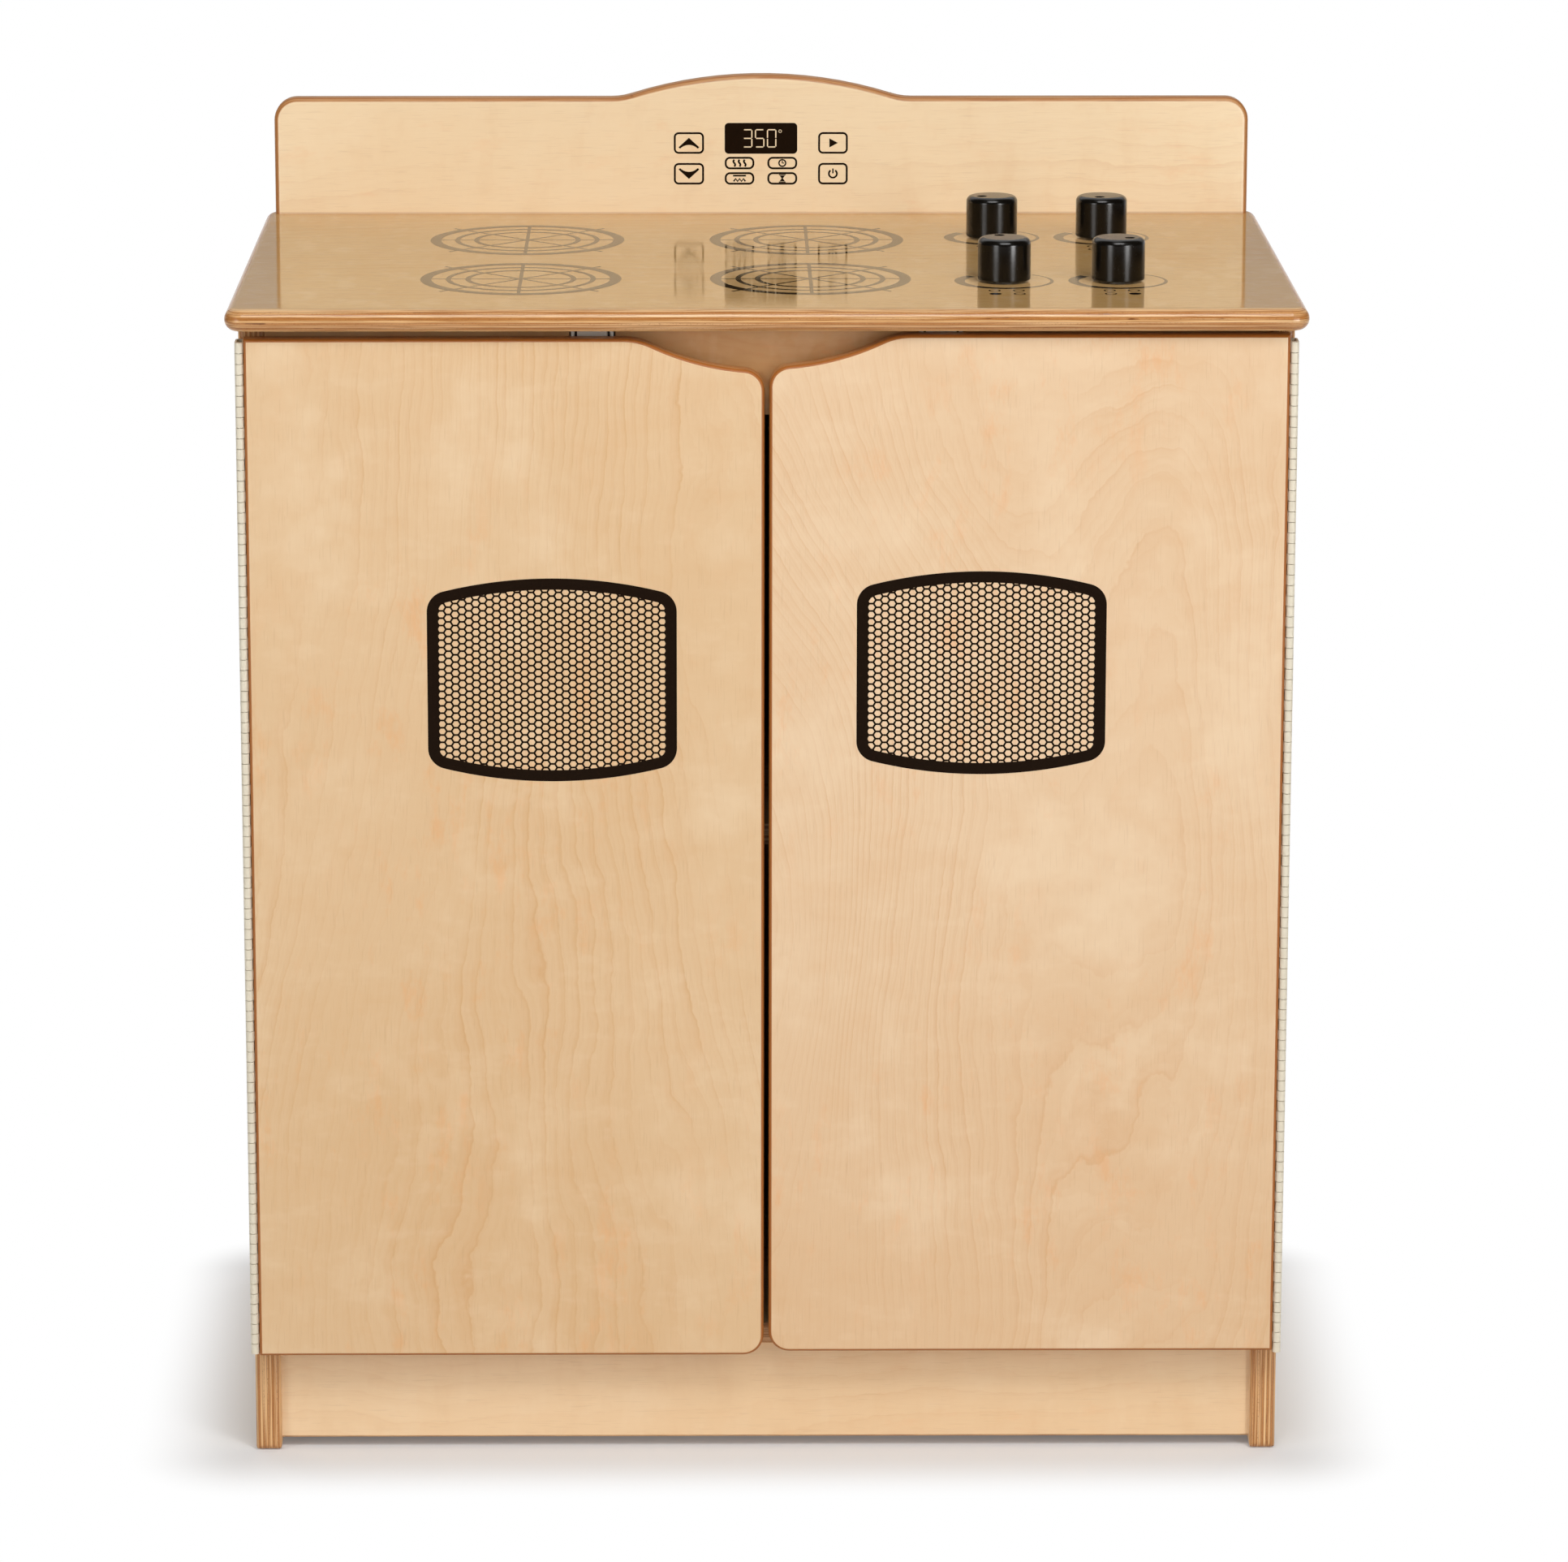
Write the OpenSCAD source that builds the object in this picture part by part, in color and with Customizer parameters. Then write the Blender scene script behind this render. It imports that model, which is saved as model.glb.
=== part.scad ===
// Play stove for a nursery: a birch plywood cabinet with a backsplash, two doors on full-length
// piano hinges and four turning knobs. Millimetres. The origin is on the floor under the middle
// of the worktop, +Z is up and the doors face -Y.

/* [Worktop] */
// Width of the worktop
worktop_w = 610; // [600:1:680]
// Depth of the worktop from front to rear
worktop_d = 381; // [370:1:440]
// Thickness of the worktop
worktop_t = 13; // [11:0.5:17]
// Height of the worktop's upper face above the floor
worktop_h = 680; // [675:1:760]
// Corner radius of the worktop seen from above
worktop_corner_r = 10; // [9:0.5:30]
// How far the worktop reaches past each side panel
side_overhang = 6.5; // [3:0.5:12]
// How far the worktop reaches past the side panels at the rear
rear_overhang = 6; // [2:0.5:12]

/* [Cabinet] */
// Thickness of the side panels
side_t = 15; // [14:0.5:20]
// Rounding of the side panels' long edges
side_ease = 3; // [1:0.5:5]
// Rounding of the feet of the side panels, seen from the side
foot_r = 4.5; // [2:0.5:12]
// Thickness of the shelves, the rails and the toe kick
board_t = 13; // [11:0.5:16]
// Rounding of the front edges of the shelves and of the toe kick
board_ease = 1.5; // [0.5:0.25:3]
// Depth of the grooves that hold the shelves in the side panels
groove_depth = 5; // [3:0.5:6]
// Play around a board in its groove
groove_play = 0.1; // [0.05:0.05:0.3]
// Height of the bottom shelf's underside
bottom_shelf_z = 64.5; // [50:0.5:70]
// Height of the middle shelf's underside
middle_shelf_z = 360; // [250:1:450]
// How far the bottom shelf stands behind the side panels' front edges
bottom_shelf_setback = 2; // [1:0.5:8]
// How far the middle shelf stands behind the side panels' front edges
middle_shelf_setback = 20; // [5:1:60]
// Height of the front rail and the rear rail
rail_h = 51; // [35:1:80]
// How far the front rail stands behind the side panels' front edges
rail_setback = 1; // [0.5:0.5:6]
// Gap between the floor and the toe kick
toe_kick_z = 6; // [3:0.5:15]
// How far the toe kick stands behind the side panels' front edges
toe_kick_setback = 6; // [3:0.5:30]
// Thickness of the back panel
back_t = 6; // [4:0.5:9]
// How far the back panel reaches into the rabbet of each side panel
rabbet_w = 7; // [6:0.5:8]
// Width and height of the cleats that hold the worktop
cleat_size = 20; // [16:1:30]
// Distance from each end of a cleat to the rail beside it
cleat_end_gap = 12; // [4:1:40]

/* [Backsplash] */
// Width of the backsplash
backsplash_w = 597; // [560:1:600]
// Height of the backsplash's level top above the worktop
backsplash_h = 71.6; // [50:0.1:120]
// Thickness of the backsplash
backsplash_t = 13; // [10:0.5:18]
// Distance from the rear of the worktop to the backsplash
backsplash_setback = 5; // [1:0.5:12]
// Radius of the backsplash's upper corners
backsplash_corner_r = 14; // [8:1:30]
// Rounding of the backsplash's edges
backsplash_ease = 3.5; // [1:0.25:4.5]
// Rise of the arch in the middle of the backsplash
arch_rise = 14; // [8:0.5:20]
// Radius of the arch
arch_r = 267; // [180:1:400]
// Radius of the hollow at each foot of the arch
arch_foot_r = 41; // [20:1:80]

/* [Doors] */
// Thickness of the doors
door_t = 12.7; // [11:0.1:16]
// Height of the doors
door_h = 599; // [560:1:600]
// Height of the right door's lower edge above the floor
door_z = 65.2; // [60:0.1:66]
// How much lower the left door hangs than the right one
left_door_drop = 2.2; // [0:0.1:4]
// Distance from the worktop's front to the doors' front faces
door_setback = 9; // [4:0.5:15]
// Gap between the doors and the side panels' front edges
door_back_gap = 2.5; // [2:0.1:4]
// Gap between the two doors
door_gap = 2.8; // [1.5:0.1:5]
// Radius of the doors' corners where they meet
door_corner_r = 12; // [6:1:20]
// Rounding of the doors' edges
door_ease = 2.4; // [1:0.1:4]
// Depth of the finger hold cut into the doors' upper edges
hold_depth = 18.2; // [10:0.2:26]
// Radius of the finger hold's hollow
hold_r = 152; // [110:1:200]
// Radius of the finger hold's shoulders
hold_shoulder_r = 38; // [20:1:60]

/* [Piano hinges] */
// Outer diameter of the knuckles
knuckle_d = 4.6; // [4:0.1:6]
// Length of one knuckle, fitted to a whole number of pairs
knuckle_pitch = 6.05; // [5:0.05:20]
// Gap between neighbouring knuckles
knuckle_gap = 0.35; // [0.1:0.05:0.5]
// Diameter of the hinge pins
hinge_pin_d = 2.2; // [1.6:0.1:2.6]
// Radial play of a hinge pin in its knuckles
hinge_pin_play = 0.05; // [0.01:0.01:0.1]
// Thickness of the hinge leaves
leaf_t = 1; // [0.7:0.1:1.2]
// Gap between a leaf's edge and the knuckles that turn beside it
leaf_relief = 0.3; // [0.2:0.05:0.5]
// How far a door leaf reaches back from the hinge's axis
door_leaf_w = 9.7; // [8:0.1:10.5]
// Width of the frame leaf's flange on the side panel's front edge
flange_w = 13.3; // [11:0.1:15]
// Outer bend radius of the frame leaf
leaf_bend_r = 1.6; // [1.3:0.1:2.5]
// Gap between a frame leaf and the side panel's outer face
leaf_side_gap = 0.1; // [0:0.05:0.5]
// Gap between the knuckles and the doors' edges
knuckle_door_gap = 0.3; // [0.2:0.05:0.6]
// How far the knuckles stand behind the doors' front faces
knuckle_setback = 0.2; // [0:0.05:0.4]
// How much shorter the hinges are than the doors
hinge_short = 3.2; // [0:0.1:10]
// How much lower the hinges start than the right door
hinge_drop = 1.1; // [0:0.1:2]
// Number of screws in each leaf
hinge_screw_count = 12; // [4:1:16]
// Distance from the ends of a hinge to its first and last screw
hinge_screw_margin = 22; // [12:1:40]

/* [Magnetic catches] */
// Distance from the middle of the stove to each catch
catch_x = 98.5; // [92:0.5:160]
// Width of a catch's housing
catch_w = 24; // [20:0.5:30]
// Height of a catch's housing
catch_h = 14; // [10:0.5:18]
// Depth of a catch's housing in front of its tab
catch_d = 16; // [15:0.5:22]
// Wall thickness of a catch's housing
catch_wall = 2; // [1.2:0.1:2.6]
// Length of the screwed tab behind the housing
catch_tab = 15; // [12:0.5:24]
// Thickness of the screwed tab
catch_tab_t = 2.6; // [2:0.1:4]
// Thickness of a catch's pole plates
pole_t = 1.2; // [0.8:0.1:2]
// How far the pole plates stand out of the housing
pole_proud = 0.6; // [0.3:0.1:1]
// Play around the magnet and its pole plates
magnet_play = 0.1; // [0.05:0.05:0.2]
// Gap between the pole plates and the strike plate
pole_gap = 0.4; // [0.3:0.05:0.6]
// Gap around a catch in the notch of the front rail
notch_gap = 1; // [0.5:0.1:3]
// Height of a strike plate
strike_h = 12; // [10:0.5:16]
// Thickness of a strike plate
strike_t = 1.2; // [0.8:0.1:1.4]
// Distance from a door's upper edge to its strike plate
strike_drop = 3; // [2.5:0.5:6]

/* [Knobs] */
// Diameter of the knobs
knob_d = 30.5; // [26:0.5:38]
// Height of the knobs
knob_h = 24.5; // [20:0.5:32]
// Rounding of the knobs' upper edges
knob_ease = 3.5; // [1:0.25:6]
// Rounding of the knobs' lower edges
knob_foot_ease = 0.8; // [0.4:0.1:2]
// Diameter of the marker hole in a knob
marker_d = 6; // [3:0.5:7]
// Depth of the marker hole
marker_depth = 6; // [2:0.5:8]
// Distance from a knob's axis to its marker hole
marker_r = 7.3; // [5:0.1:9]
// Distance from the middle of the stove to the left pair of knobs
knob_left_x = 137.3; // [125:0.5:150]
// Distance from the middle of the stove to the right pair of knobs
knob_right_x = 203; // [190:0.5:230]
// Distance from the worktop's front to the front pair of knobs
knob_front_y = 102; // [80:1:130]
// Distance from the worktop's front to the rear pair of knobs
knob_back_y = 266; // [220:1:290]
// Direction of the front left knob's marker, counter-clockwise from the right
front_left_marker = 110; // [-180:5:180]
// Direction of the front right knob's marker
front_right_marker = -30; // [-180:5:180]
// Direction of the rear left knob's marker
back_left_marker = -148; // [-180:1:180]
// Direction of the rear right knob's marker
back_right_marker = -102; // [-180:1:180]
// Diameter of the bolt under a knob
bolt_d = 5; // [4:0.5:6]
// Diameter of the bolt's head
bolt_head_d = 10; // [8.5:0.5:12]
// Height of the bolt's head
bolt_head_h = 3; // [2:0.5:5]
// Key width of the bolt's hexagon socket
bolt_key = 3; // [2:0.5:4]
// Outer diameter of the bushing's sleeve and of the threaded insert
sleeve_d = 8; // [7.5:0.5:10]
// Diameter of the bushing's flange under the knob
bushing_flange_d = 17; // [14:0.5:22]
// Thickness of the bushing's flange
bushing_flange_t = 0.8; // [0.5:0.1:2]
// Radial play of the bolt in its bushing
bolt_play = 0.05; // [0.02:0.01:0.1]
// Gap that lets a knob turn above its bushing and the bolt's head below its washer
knob_gap = 0.3; // [0.2:0.05:0.5]
// Depth of the threaded insert in a knob
insert_h = 14; // [10:0.5:15]
// Outer diameter of the washer under the worktop
washer_d = 14; // [12:0.5:18]
// Thickness of the washer under the worktop
washer_t = 1.2; // [0.8:0.1:2]

/* [Fasteners] */
// Diameter of the assembly screws
screw_d = 4; // [3:0.5:4.5]
// Head diameter of the assembly screws
screw_head_d = 7.6; // [6.5:0.1:8]
// How far an assembly screw bites into the board behind
screw_bite = 9; // [6:0.5:9.5]
// How far a backsplash screw bites into the backsplash
backsplash_bite = 24; // [15:1:40]
// Diameter of the small screws in hinges, catches and the back panel
small_screw_d = 2.8; // [2.2:0.1:3]
// Head diameter of the small screws
small_screw_head_d = 5.4; // [4.4:0.1:5.6]
// Length of the hinge screws
hinge_screw_l = 14; // [10:1:20]
// Length of the catch screws and the strike plate screws
catch_screw_l = 9.5; // [7:0.5:10]
// Length of the back panel screws
back_screw_l = 18; // [14:1:25]
// Play around a fastener in its hole
fastener_play = 0.05; // [0.02:0.01:0.1]
// Number of screws along each cleat and each way
cleat_screw_count = 3; // [2:1:5]
// Number of screws that hold the backsplash
backsplash_screw_count = 4; // [2:1:6]
// Number of screws on each side of the back panel between one shelf and the next
back_screw_count = 3; // [2:1:6]
// Diameter of the dowels
dowel_d = 8; // [6:0.5:8]
// Length of the dowels
dowel_l = 30; // [24:1:36]
// How far a dowel reaches into a side panel
dowel_bite = 10; // [8:0.5:11]
// Distance from a board's edges to its dowels
dowel_margin = 14; // [10:0.5:16]

/* [Hidden] */
$fn = 64;
cut = 1;
worktop_z = worktop_h - worktop_t;
side_x = worktop_w / 2 - side_overhang;
inner_x = side_x - side_t;
rear_y = worktop_d / 2 - rear_overhang;
door_front_y = -worktop_d / 2 + door_setback;
door_back_y = door_front_y + door_t;
front_y = door_back_y + door_back_gap;
back_y = rear_y - back_t;
rail_y = front_y + rail_setback;
rail_z = worktop_z - rail_h;
toe_kick_y = front_y + toe_kick_setback;
cleat_y = rail_y + board_t + cleat_end_gap;
cleat_l = back_y - board_t - cleat_end_gap - cleat_y;
cleat_x = inner_x - cleat_size;
backsplash_y = worktop_d / 2 - backsplash_setback;

knuckle_r = knuckle_d / 2;
hinge_x = side_x + leaf_side_gap + leaf_t - knuckle_r;
hinge_y = door_front_y + knuckle_setback + knuckle_r;
hinge_l = door_h - hinge_short;
hinge_z = door_z - hinge_drop;
knuckle_count = 2 * floor(hinge_l / (2 * knuckle_pitch));
knuckle_l = hinge_l / knuckle_count;
relief_r = knuckle_r + leaf_relief;
leaf_run = front_y - hinge_y;
hinge_screw_step = (hinge_l - 2 * hinge_screw_margin) / (hinge_screw_count - 1);
door_outer_x = hinge_x - knuckle_r - knuckle_door_gap;
door_inner_x = door_gap / 2;
leaf_screw_y = (relief_r + door_leaf_w) / 2;

// The finger hold is a hollow arc that meets a rounded shoulder and a rounded corner tangentially.
hold_y = door_h - hold_depth + hold_r;
shoulder_y = door_h - hold_shoulder_r;
shoulder_x = sqrt(pow(hold_r + hold_shoulder_r, 2) - pow(hold_y - shoulder_y, 2));
shoulder_turn = atan2(hold_y - shoulder_y, -shoulder_x);
corner_x = door_inner_x + door_corner_r;
corner_y = hold_y - sqrt(pow(hold_r + door_corner_r, 2) - pow(corner_x, 2));
corner_turn = atan2(hold_y - corner_y, -corner_x);

// The arch rises out of the backsplash's level top through a hollow foot on each side.
arch_y = backsplash_h + arch_rise - arch_r;
arch_foot_y = backsplash_h + arch_foot_r;
arch_foot_x = sqrt(pow(arch_r + arch_foot_r, 2) - pow(arch_foot_y - arch_y, 2));
arch_turn = atan2(arch_foot_y - arch_y, arch_foot_x);

catch_y = door_back_y + strike_t + pole_gap + pole_proud;
magnet_h = catch_h - 2 * catch_wall;
magnet_d = catch_d - catch_wall - 2 * magnet_play;
pole_x = catch_w / 2 - catch_wall - magnet_play;

knob_z = worktop_h + bushing_flange_t + knob_gap;
bolt_z = worktop_z - washer_t - knob_gap;
knob_places = [
    [knob_left_x, knob_front_y - worktop_d / 2],
    [knob_right_x, knob_front_y - worktop_d / 2],
    [knob_left_x, knob_back_y - worktop_d / 2],
    [knob_right_x, knob_back_y - worktop_d / 2]
];

birch = [0.87, 0.74, 0.56];
worktop_birch = [0.80, 0.62, 0.42];
cream = [0.86, 0.82, 0.72];
zinc = [0.72, 0.73, 0.74];

// General shapes

module left_too(side) {
    mirror([side == "left" ? 1 : 0, 0, 0]) children();
}

// Stands a board drawn in the front view upright, its rear face at y
module facing_front(y) {
    translate([0, y, 0]) rotate([90, 0, 0]) children();
}

module round_rect(w, h, r) {
    union() {
        translate([r, 0]) square([w - 2 * r, h]);
        translate([0, r]) square([w, h - 2 * r]);
        for (x = [r, w - r], y = [r, h - r]) translate([x, y]) circle(r = r);
    }
}

// Rectangle whose two corners on the y = 0 side are rounded
module round_foot_rect(w, h, r) {
    union() {
        translate([r, 0]) square([w - 2 * r, h]);
        translate([0, r]) square([w, h - r]);
        for (x = [r, w - r]) translate([x, r]) circle(r = r);
    }
}

// What a quarter-round router bit takes off an edge at the origin of a board below and left of it
module arris_profile(r) {
    difference() {
        translate([-r, -r]) square([r + cut, r + cut]);
        translate([-r, -r]) circle(r = r);
    }
}

// The bit run along +X, with the board on its right
module arris_line(length, r) {
    rotate([90, 0, 90]) linear_extrude(height = length) arris_profile(r);
}

// The bit run round a corner of radius bend, from angle a to angle b, inside or outside the board
module arris_arc(bend, a, b, r, hollow = false) {
    rotate([0, 0, a]) rotate_extrude(angle = b - a)
        translate([bend, 0]) mirror([hollow ? 1 : 0, 0]) arris_profile(r);
}

// A board of thickness t with the cutter in children taken off both of its faces
module eased_both_faces(t) {
    translate([0, 0, t]) children();
    mirror([0, 0, 1]) children();
}

// Countersunk screw with its head's top at the origin, pointing along -Z
module screw(d, head_d, length) {
    rotate_extrude() polygon([
        [0, 0], [head_d / 2, 0], [d / 2, -(head_d - d) / 2], [d / 2, d - length], [0, -length]
    ]);
}

module screw_hole(d, head_d, length) {
    r = d / 2 + fastener_play;
    head_r = head_d / 2 + fastener_play;
    rotate_extrude() polygon([
        [0, cut], [head_r, cut], [head_r, 0], [r, r - head_r], [r, -length - fastener_play],
        [0, -length - fastener_play]
    ]);
}

module small_screw(length) {
    screw(small_screw_d, small_screw_head_d, length);
}

module small_screw_hole(length) {
    screw_hole(small_screw_d, small_screw_head_d, length);
}

module assembly_screw(length) {
    screw(screw_d, screw_head_d, length);
}

module assembly_screw_hole(length) {
    screw_hole(screw_d, screw_head_d, length);
}

// Places shared by a fastener and its hole

// Screws from a cleat up into the worktop, on the right side
module at_cleat_top_screws() {
    step = cleat_l / cleat_screw_count;
    for (i = [0 : cleat_screw_count - 1])
        translate([cleat_x + cleat_size / 2, cleat_y + (i + 0.3) * step, worktop_z - cleat_size])
            rotate([180, 0, 0]) children();
}

// Screws from a cleat out into the side panel, on the right side
module at_cleat_side_screws() {
    step = cleat_l / cleat_screw_count;
    for (i = [0 : cleat_screw_count - 1])
        translate([cleat_x, cleat_y + (i + 0.7) * step, worktop_z - cleat_size / 2])
            rotate([0, -90, 0]) children();
}

module at_backsplash_screws() {
    step = backsplash_w / backsplash_screw_count;
    for (i = [0 : backsplash_screw_count - 1])
        translate([-backsplash_w / 2 + (i + 0.5) * step, backsplash_y - backsplash_t / 2, worktop_z])
            rotate([180, 0, 0]) children();
}

// Screws through the back panel into the side panels, clear of the shelves and the rear rail
module at_back_panel_screws() {
    bays = [[bottom_shelf_z + board_t, middle_shelf_z], [middle_shelf_z + board_t, rail_z]];
    for (s = [-1, 1], bay = bays, i = [0 : back_screw_count - 1]) {
        z = bay[0] + (i + 0.5) * (bay[1] - bay[0]) / back_screw_count;
        translate([s * (inner_x + rabbet_w / 2), rear_y, z]) rotate([-90, 0, 0]) children();
    }
}

// Dowels into the right side panel, lying along +X with the joint at their origin
module at_dowels() {
    places = [
        [rail_y, rail_z, rail_h], [back_y - board_t, rail_z, rail_h],
        [toe_kick_y, toe_kick_z, bottom_shelf_z - toe_kick_z]
    ];
    for (p = places, z = [p[1] + dowel_margin, p[1] + p[2] - dowel_margin])
        translate([inner_x, p[0] + board_t / 2, z]) rotate([0, 90, 0]) children();
}

module dowel_hole() {
    translate([0, 0, dowel_bite - dowel_l - fastener_play])
        cylinder(h = dowel_l + 2 * fastener_play, r = dowel_d / 2 + fastener_play);
}

module at_hinge_screws() {
    for (i = [0 : hinge_screw_count - 1])
        translate([0, 0, hinge_z + hinge_screw_margin + i * hinge_screw_step]) children();
}

// Screws through the right frame leaf's flange into the side panel
module at_frame_leaf_screws() {
    at_hinge_screws() translate([(inner_x + side_x) / 2, front_y - leaf_t, 0])
        rotate([90, 0, 0]) children();
}

// Screws through the right door leaf into the door's edge
module at_door_leaf_screws() {
    at_hinge_screws() translate([door_outer_x + leaf_t, hinge_y + leaf_screw_y, 0])
        rotate([0, 90, 0]) children();
}

module at_catch_screws() {
    for (s = [-1, 1], x = [-catch_w / 4, catch_w / 4])
        translate([s * catch_x + x, catch_y + catch_d + catch_tab / 2, worktop_z - catch_tab_t])
            rotate([180, 0, 0]) children();
}

// Upper front corner of the right catch, under the worktop
module at_catch() {
    translate([catch_x, catch_y, worktop_z]) children();
}

function door_drop(side) = side == "left" ? left_door_drop : 0;

module at_strike(side) {
    z = door_z - door_drop(side) + door_h - strike_drop - strike_h / 2;
    translate([catch_x, door_back_y, z]) rotate([-90, 0, 0]) children();
}

module at_knobs() {
    for (p = knob_places) translate([p[0], p[1], 0]) children();
}

// Worktop and backsplash

// Half of a nose seen in section, from the middle of a corner outwards
module nose_profile(corner_r, r) {
    union() {
        translate([0, -r]) square([corner_r - r, 2 * r]);
        intersection() {
            translate([corner_r - r, 0]) circle(r = r);
            translate([corner_r - r, -r]) square([r, 2 * r]);
        }
    }
}

// Board with a full half-round nose on all four edges and round its corners
module nosed_board(w, d, t, corner_r) {
    r = t / 2;
    run_x = w - 2 * corner_r;
    run_y = d - 2 * corner_r;
    union() {
        translate([-run_x / 2, r - d / 2, 0]) cube([run_x, d - t, t]);
        translate([r - w / 2, -run_y / 2, 0]) cube([w - t, run_y, t]);
        for (s = [-1, 1]) {
            translate([-run_x / 2, s * (d / 2 - r), r]) rotate([0, 90, 0]) cylinder(h = run_x, r = r);
            translate([s * (w / 2 - r), run_y / 2, r]) rotate([90, 0, 0]) cylinder(h = run_y, r = r);
        }
        for (c = [[1, 1, 0], [-1, 1, 90], [-1, -1, 180], [1, -1, 270]])
            translate([c[0] * run_x / 2, c[1] * run_y / 2, r]) rotate([0, 0, c[2]])
                rotate_extrude(angle = 90) nose_profile(corner_r, r);
    }
}

module worktop() {
    color(worktop_birch) difference() {
        translate([0, 0, worktop_z]) nosed_board(worktop_w, worktop_d, worktop_t, worktop_corner_r);
        at_knobs() translate([0, 0, worktop_z - cut])
            cylinder(h = worktop_t + 2 * cut, r = sleeve_d / 2 + fastener_play);
        for (side = ["left", "right"]) left_too(side) at_cleat_top_screws()
            assembly_screw_hole(cleat_size + screw_bite);
        at_backsplash_screws() assembly_screw_hole(worktop_t + backsplash_bite);
        at_catch_screws() small_screw_hole(catch_screw_l);
    }
}

module backsplash_outline() {
    foot_h = arch_y + arch_r * sin(arch_turn);
    union() {
        translate([-backsplash_w / 2, backsplash_h]) mirror([0, 1])
            round_foot_rect(backsplash_w, backsplash_h, backsplash_corner_r);
        intersection() {
            translate([0, arch_y]) circle(r = arch_r, $fn = 720);
            translate([-arch_foot_x, backsplash_h - cut]) square([2 * arch_foot_x, 2 * arch_rise]);
        }
        for (m = [0, 1]) mirror([m, 0]) difference() {
            translate([arch_r * cos(arch_turn) - cut, backsplash_h - cut])
                square([arch_foot_x - arch_r * cos(arch_turn) + cut, foot_h - backsplash_h + cut]);
            translate([arch_foot_x, arch_foot_y]) circle(r = arch_foot_r, $fn = 180);
        }
    }
}

// One half of the router's path round the backsplash, from its foot to the middle of the arch
module backsplash_edge() {
    corner = backsplash_corner_r;
    translate([-backsplash_w / 2, -cut]) rotate([0, 0, 90])
        arris_line(backsplash_h - corner + cut, backsplash_ease);
    translate([corner - backsplash_w / 2, backsplash_h - corner])
        arris_arc(corner, 90, 180, backsplash_ease);
    translate([corner - backsplash_w / 2, backsplash_h])
        arris_line(backsplash_w / 2 - corner - arch_foot_x, backsplash_ease);
    translate([-arch_foot_x, arch_foot_y])
        arris_arc(arch_foot_r, -90, -arch_turn, backsplash_ease, hollow = true);
    translate([0, arch_y]) arris_arc(arch_r, 90, 180 - arch_turn, backsplash_ease);
}

module backsplash() {
    color(birch) difference() {
        translate([0, 0, worktop_h]) facing_front(backsplash_y) difference() {
            linear_extrude(height = backsplash_t) backsplash_outline();
            eased_both_faces(backsplash_t) for (m = [0, 1]) mirror([m, 0, 0]) backsplash_edge();
        }
        at_backsplash_screws() assembly_screw_hole(worktop_t + backsplash_bite);
    }
}

// Cabinet

module side_panel() {
    depth = rear_y - front_y;
    difference() {
        intersection() {
            translate([inner_x, front_y, 0]) linear_extrude(height = worktop_z)
                round_foot_rect(side_t, depth, side_ease);
            translate([0, rear_y, 0]) rotate([90, 0, 0]) linear_extrude(height = depth)
                translate([inner_x, 0]) round_foot_rect(side_t, worktop_z, side_ease);
            translate([inner_x, 0, 0]) rotate([90, 0, 90]) linear_extrude(height = side_t)
                translate([front_y, 0]) round_foot_rect(depth, worktop_z, foot_r);
        }
        side_cuts();
    }
}

// Grooves, rabbet and holes of the right side panel
module side_cuts() {
    for (shelf = [[bottom_shelf_z, bottom_shelf_setback], [middle_shelf_z, middle_shelf_setback]])
        translate([inner_x - cut, front_y + shelf[1] - groove_play, shelf[0] - groove_play])
            cube([groove_depth + cut + groove_play, back_y - front_y - shelf[1] + 2 * groove_play,
                  board_t + 2 * groove_play]);
    translate([inner_x - cut, back_y, bottom_shelf_z - groove_play])
        cube([rabbet_w + cut + groove_play, back_t + cut, worktop_z]);
    at_back_panel_screws() small_screw_hole(back_screw_l);
    at_cleat_side_screws() assembly_screw_hole(cleat_size + screw_bite);
    at_dowels() dowel_hole();
    at_frame_leaf_screws() small_screw_hole(hinge_screw_l);
}

module left_side() {
    color(birch) mirror([1, 0, 0]) side_panel();
}

module right_side() {
    color(birch) side_panel();
}

module back_panel() {
    w = 2 * (inner_x + rabbet_w);
    color(birch) difference() {
        translate([-w / 2, back_y, bottom_shelf_z]) cube([w, back_t, worktop_z - bottom_shelf_z]);
        at_back_panel_screws() small_screw_hole(back_screw_l);
    }
}

// Shelf between the side panels' grooves, with its front edges rounded
module shelf(z, setback) {
    w = 2 * (inner_x + groove_depth);
    depth = back_y - front_y - setback;
    translate([-w / 2, front_y + setback, z]) rotate([90, 0, 90]) linear_extrude(height = w)
        rotate([0, 0, -90]) mirror([1, 0]) round_foot_rect(board_t, depth, board_ease);
}

module bottom_shelf() {
    color(birch) shelf(bottom_shelf_z, bottom_shelf_setback);
}

module middle_shelf() {
    color(birch) shelf(middle_shelf_z, middle_shelf_setback);
}

module both_dowel_holes() {
    for (side = ["left", "right"]) left_too(side) at_dowels() dowel_hole();
}

// Upright board between the side panels, its front face at y
module cross_board(y, z, h) {
    translate([-inner_x, y, z]) cube([2 * inner_x, board_t, h]);
}

module front_rail() {
    notch_w = catch_w + 2 * notch_gap;
    notch_h = catch_h + notch_gap;
    color(birch) difference() {
        cross_board(rail_y, rail_z, rail_h);
        both_dowel_holes();
        for (s = [-1, 1]) translate([s * catch_x - notch_w / 2, rail_y - cut, worktop_z - notch_h])
            cube([notch_w, board_t + 2 * cut, notch_h + cut]);
    }
}

module rear_rail() {
    color(birch) difference() {
        cross_board(back_y - board_t, rail_z, rail_h);
        both_dowel_holes();
    }
}

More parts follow.
